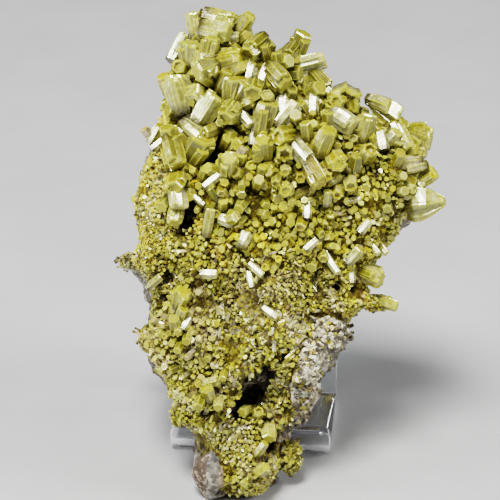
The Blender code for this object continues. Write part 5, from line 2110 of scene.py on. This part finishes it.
@dataclass(frozen=True)
class Specimen:
    """The rock with its crust and all its crystals."""

    body: Body = field(default_factory=Body)
    growth: Growth = field(default_factory=Growth)
    fine_below_mm: float = 1.25

    def add(self, name: str, mesh: MeshArrays, finish: Material, smooth: bool = False) -> None:
        """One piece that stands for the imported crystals."""
        new_piece(name, mesh, finish, "pyromorphite_crystals", smooth)

    def add_rock(self, name: str, mesh: MeshArrays, finish: Material, smooth: bool = False) -> None:
        """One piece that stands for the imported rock."""
        new_piece(name, mesh, finish, "matrix", smooth)

    def build(self, groups: Groups) -> None:
        """Makes and dresses every piece of the specimen.

        Args:
            groups: the shared shader groups.
        """
        rock_body = RockBody(self.body)
        vein = RockFinish("vein_rock_finish")
        self.add_rock("vein_rock", Rock(rock_body).mesh(), vein.material(groups), True)
        druse = RockFinish("druse_finish", roughness=0.5, grain_scale=1900.0, blotch_scale=420.0,
                           dark=(0.08, 0.060, 0.003, 1), light=(0.50, 0.44, 0.06, 1), contrast=0.55)
        self.add("crust_druse", Crust(self.body).mesh(self.growth), druse.material(groups), True)
        placed = self.build_placed(groups)
        self.build_sown(groups, rock_body, placed)
        chalky = CrystalFinish("pale_grain_finish", roughness=0.42, ior=1.6, pale_veil_and_sheen=0.2, rim=0.0, cap_share=0.0,
                               line_strength=0.2, deep=(0.20, 0.160, 0.11, 1), root=(0.05, 0.04, 0.03, 1),
                               glow=0.0)
        grains = PaleGrains(rock_body).batch(Seed.GRAINS)
        self.add_rock("pale_grains", PLAIN_CUT.mesh(grains, Seed.GRAINS_CUT), chalky.material(groups))

    def build_placed(self, groups: Groups) -> Batch:
        """The crystals placed one by one, and the bundles grown onto the large ones.

        Args:
            groups: the shared shader groups.

        Returns:
            The crystals placed one by one.
        """
        bold = CrystalFinish("placed_barrel_finish", shaded_root=(0.0, 0.38), pale_veil_and_sheen=0.9, roughness=0.17)
        finish = bold.material(groups)
        placed = PlacedCrystals(self.body)
        large = placed.batch(LARGE_CRYSTALS, Seed.LARGE)
        small = placed.batch(SMALL_CRYSTALS, Seed.SMALL)
        bundle = Sheaf().around(large, Seed.BUNDLE)
        self.add("placed_barrels", LARGE_CUT.mesh(large, Seed.LARGE_CUT), finish)
        self.add("placed_small_barrels", SMALL_CUT.mesh(small, Seed.SMALL_CUT), finish)
        self.add("bundled_barrels", SMALL_CUT.mesh(bundle, Seed.BUNDLE_CUT), finish)
        return joined_batches([large, small])

    def build_sown(self, groups: Groups, rock_body: RockBody, placed: Batch) -> None:
        """The sown crystals: middle-sized barrels, and plainer fine ones in an upper and a lower piece.

        Args:
            groups: the shared shader groups.
            rock_body: the rock, which stays bare of them.
            placed: crystals that already stand there.
        """
        sower = SownCrystals(self.growth, rock_body)
        sown = [sower.over(self.body, sower.tries, placed, Seed.SOWN)]
        for index, cluster in enumerate(CLUSTERS):
            sown.append(sower.over(cluster, sower.cluster_tries, None, Seed.CLUSTERS + index))
        every = joined_batches(sown)
        middling = every.width > self.fine_below_mm
        tiny = every.chosen(~middling)
        high = tiny.middle[:, 2] > np.median(tiny.middle[:, 2])
        bright = CrystalFinish("barrel_finish").material(groups)
        fine = CrystalFinish("druse_crystal_finish", roughness=0.24, fineness=4.0, bump_mm=0.02, pale_veil_and_sheen=0.5,
                             ior=1.8, glow=0.08, speckle=0.26, shaded_root=(0.12, 0.50)).material(groups)
        self.add("sown_barrels", MIDDLE_CUT.mesh(every.chosen(middling), Seed.SOWN_CUT), bright)
        self.add("fine_crystals_upper", PLAIN_CUT.mesh(tiny.chosen(high), Seed.UPPER_CUT), fine)
        self.add("fine_crystals_lower", PLAIN_CUT.mesh(tiny.chosen(~high), Seed.LOWER_CUT), fine)


class Lamp(NamedTuple):
    """One square soft light: its place and width in metres, its watts and its colour."""

    name: str
    place: Triple
    size: float
    watts: float
    colour: Triple


@dataclass(frozen=True)
class Studio:
    """A plain pale floor, soft lights and a camera at the photograph's angle."""

    elevation: float = math.radians(26)
    distance: float = 0.430
    lens: float = 161.0
    aim_mm: Triple = (-1.15, -4.0, 46.2)
    floor_size: float = 6.0
    light_target: Triple = (0, 0, 0.04)
    sky: Colour = (0.78, 0.80, 0.84, 1)
    sky_strength: float = 0.11
    lamps: tuple[Lamp, ...] = (
        Lamp("key", (-0.17, -0.374, 1.026), 0.34, 15.3, (1.0, 0.98, 0.95)),
        Lamp("left_fill", (-0.60, -0.20, 0.18), 0.20, 2.5, (0.95, 0.98, 1.0)),
        Lamp("right_fill", (0.58, -0.12, 0.36), 0.25, 2.4, (1.0, 0.99, 0.97)),
    )

    def camera(self) -> None:
        """The camera, looking down at the face from in front."""
        aim = Vector(FACE.to_world(np.array([self.aim_mm]))[0])
        back = Vector((0, -math.cos(self.elevation), math.sin(self.elevation)))
        data = bpy.data.cameras.new("camera")
        data.lens = self.lens
        data.clip_start = 0.01
        camera = shown("camera", data)
        camera.location = aim + back * self.distance
        camera.rotation_mode = "QUATERNION"
        camera.rotation_quaternion = (-back).to_track_quat("-Z", "Y")
        bpy.context.scene.camera = camera

    def light(self, lamp: Lamp) -> None:
        """A square soft light that faces the specimen.

        Args:
            lamp: its settings.
        """
        data = bpy.data.lights.new(lamp.name, "AREA")
        data.size = lamp.size
        data.energy = lamp.watts
        data.color = lamp.colour
        made = shown(lamp.name, data)
        made.location = lamp.place
        made.rotation_mode = "QUATERNION"
        away = Vector(lamp.place) - Vector(self.light_target)
        made.rotation_quaternion = away.to_track_quat("Z", "Y")

    def floor(self, finish: Material) -> None:
        """A large flat square under the easel.

        Args:
            finish: its material.
        """
        half = self.floor_size / 2
        corners = [(-half, -half, 0), (half, -half, 0), (half, half, 0), (-half, half, 0)]
        data = bpy.data.meshes.new("floor")
        data.from_pydata(corners, [], [(0, 1, 2, 3)])
        data.materials.append(finish)
        shown("floor", data)

    def build(self, groups: Groups) -> None:
        """Everything round the specimen.

        Args:
            groups: the shared shader groups.
        """
        self.floor(FloorFinish().material(groups))
        self.camera()
        for lamp in self.lamps:
            self.light(lamp)
        world = bpy.data.worlds.new("studio")
        world.use_nodes = True
        background = world.node_tree.nodes["Background"]
        background.inputs["Color"].default_value = self.sky
        background.inputs["Strength"].default_value = self.sky_strength
        scene = bpy.context.scene
        scene.world = world
        scene.view_settings.view_transform = "Filmic"
        scene.view_settings.look = "High Contrast"


def main() -> None:
    """Builds the specimen, its easel and the studio."""
    logging.basicConfig(level=logging.INFO, format="%(name)s %(message)s")
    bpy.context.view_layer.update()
    groups = Groups()
    Studio().build(groups)
    Easel().build(AcrylicFinish().material(groups))
    Specimen().build(groups)
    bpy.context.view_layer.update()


if __name__ == "__main__":
    main()
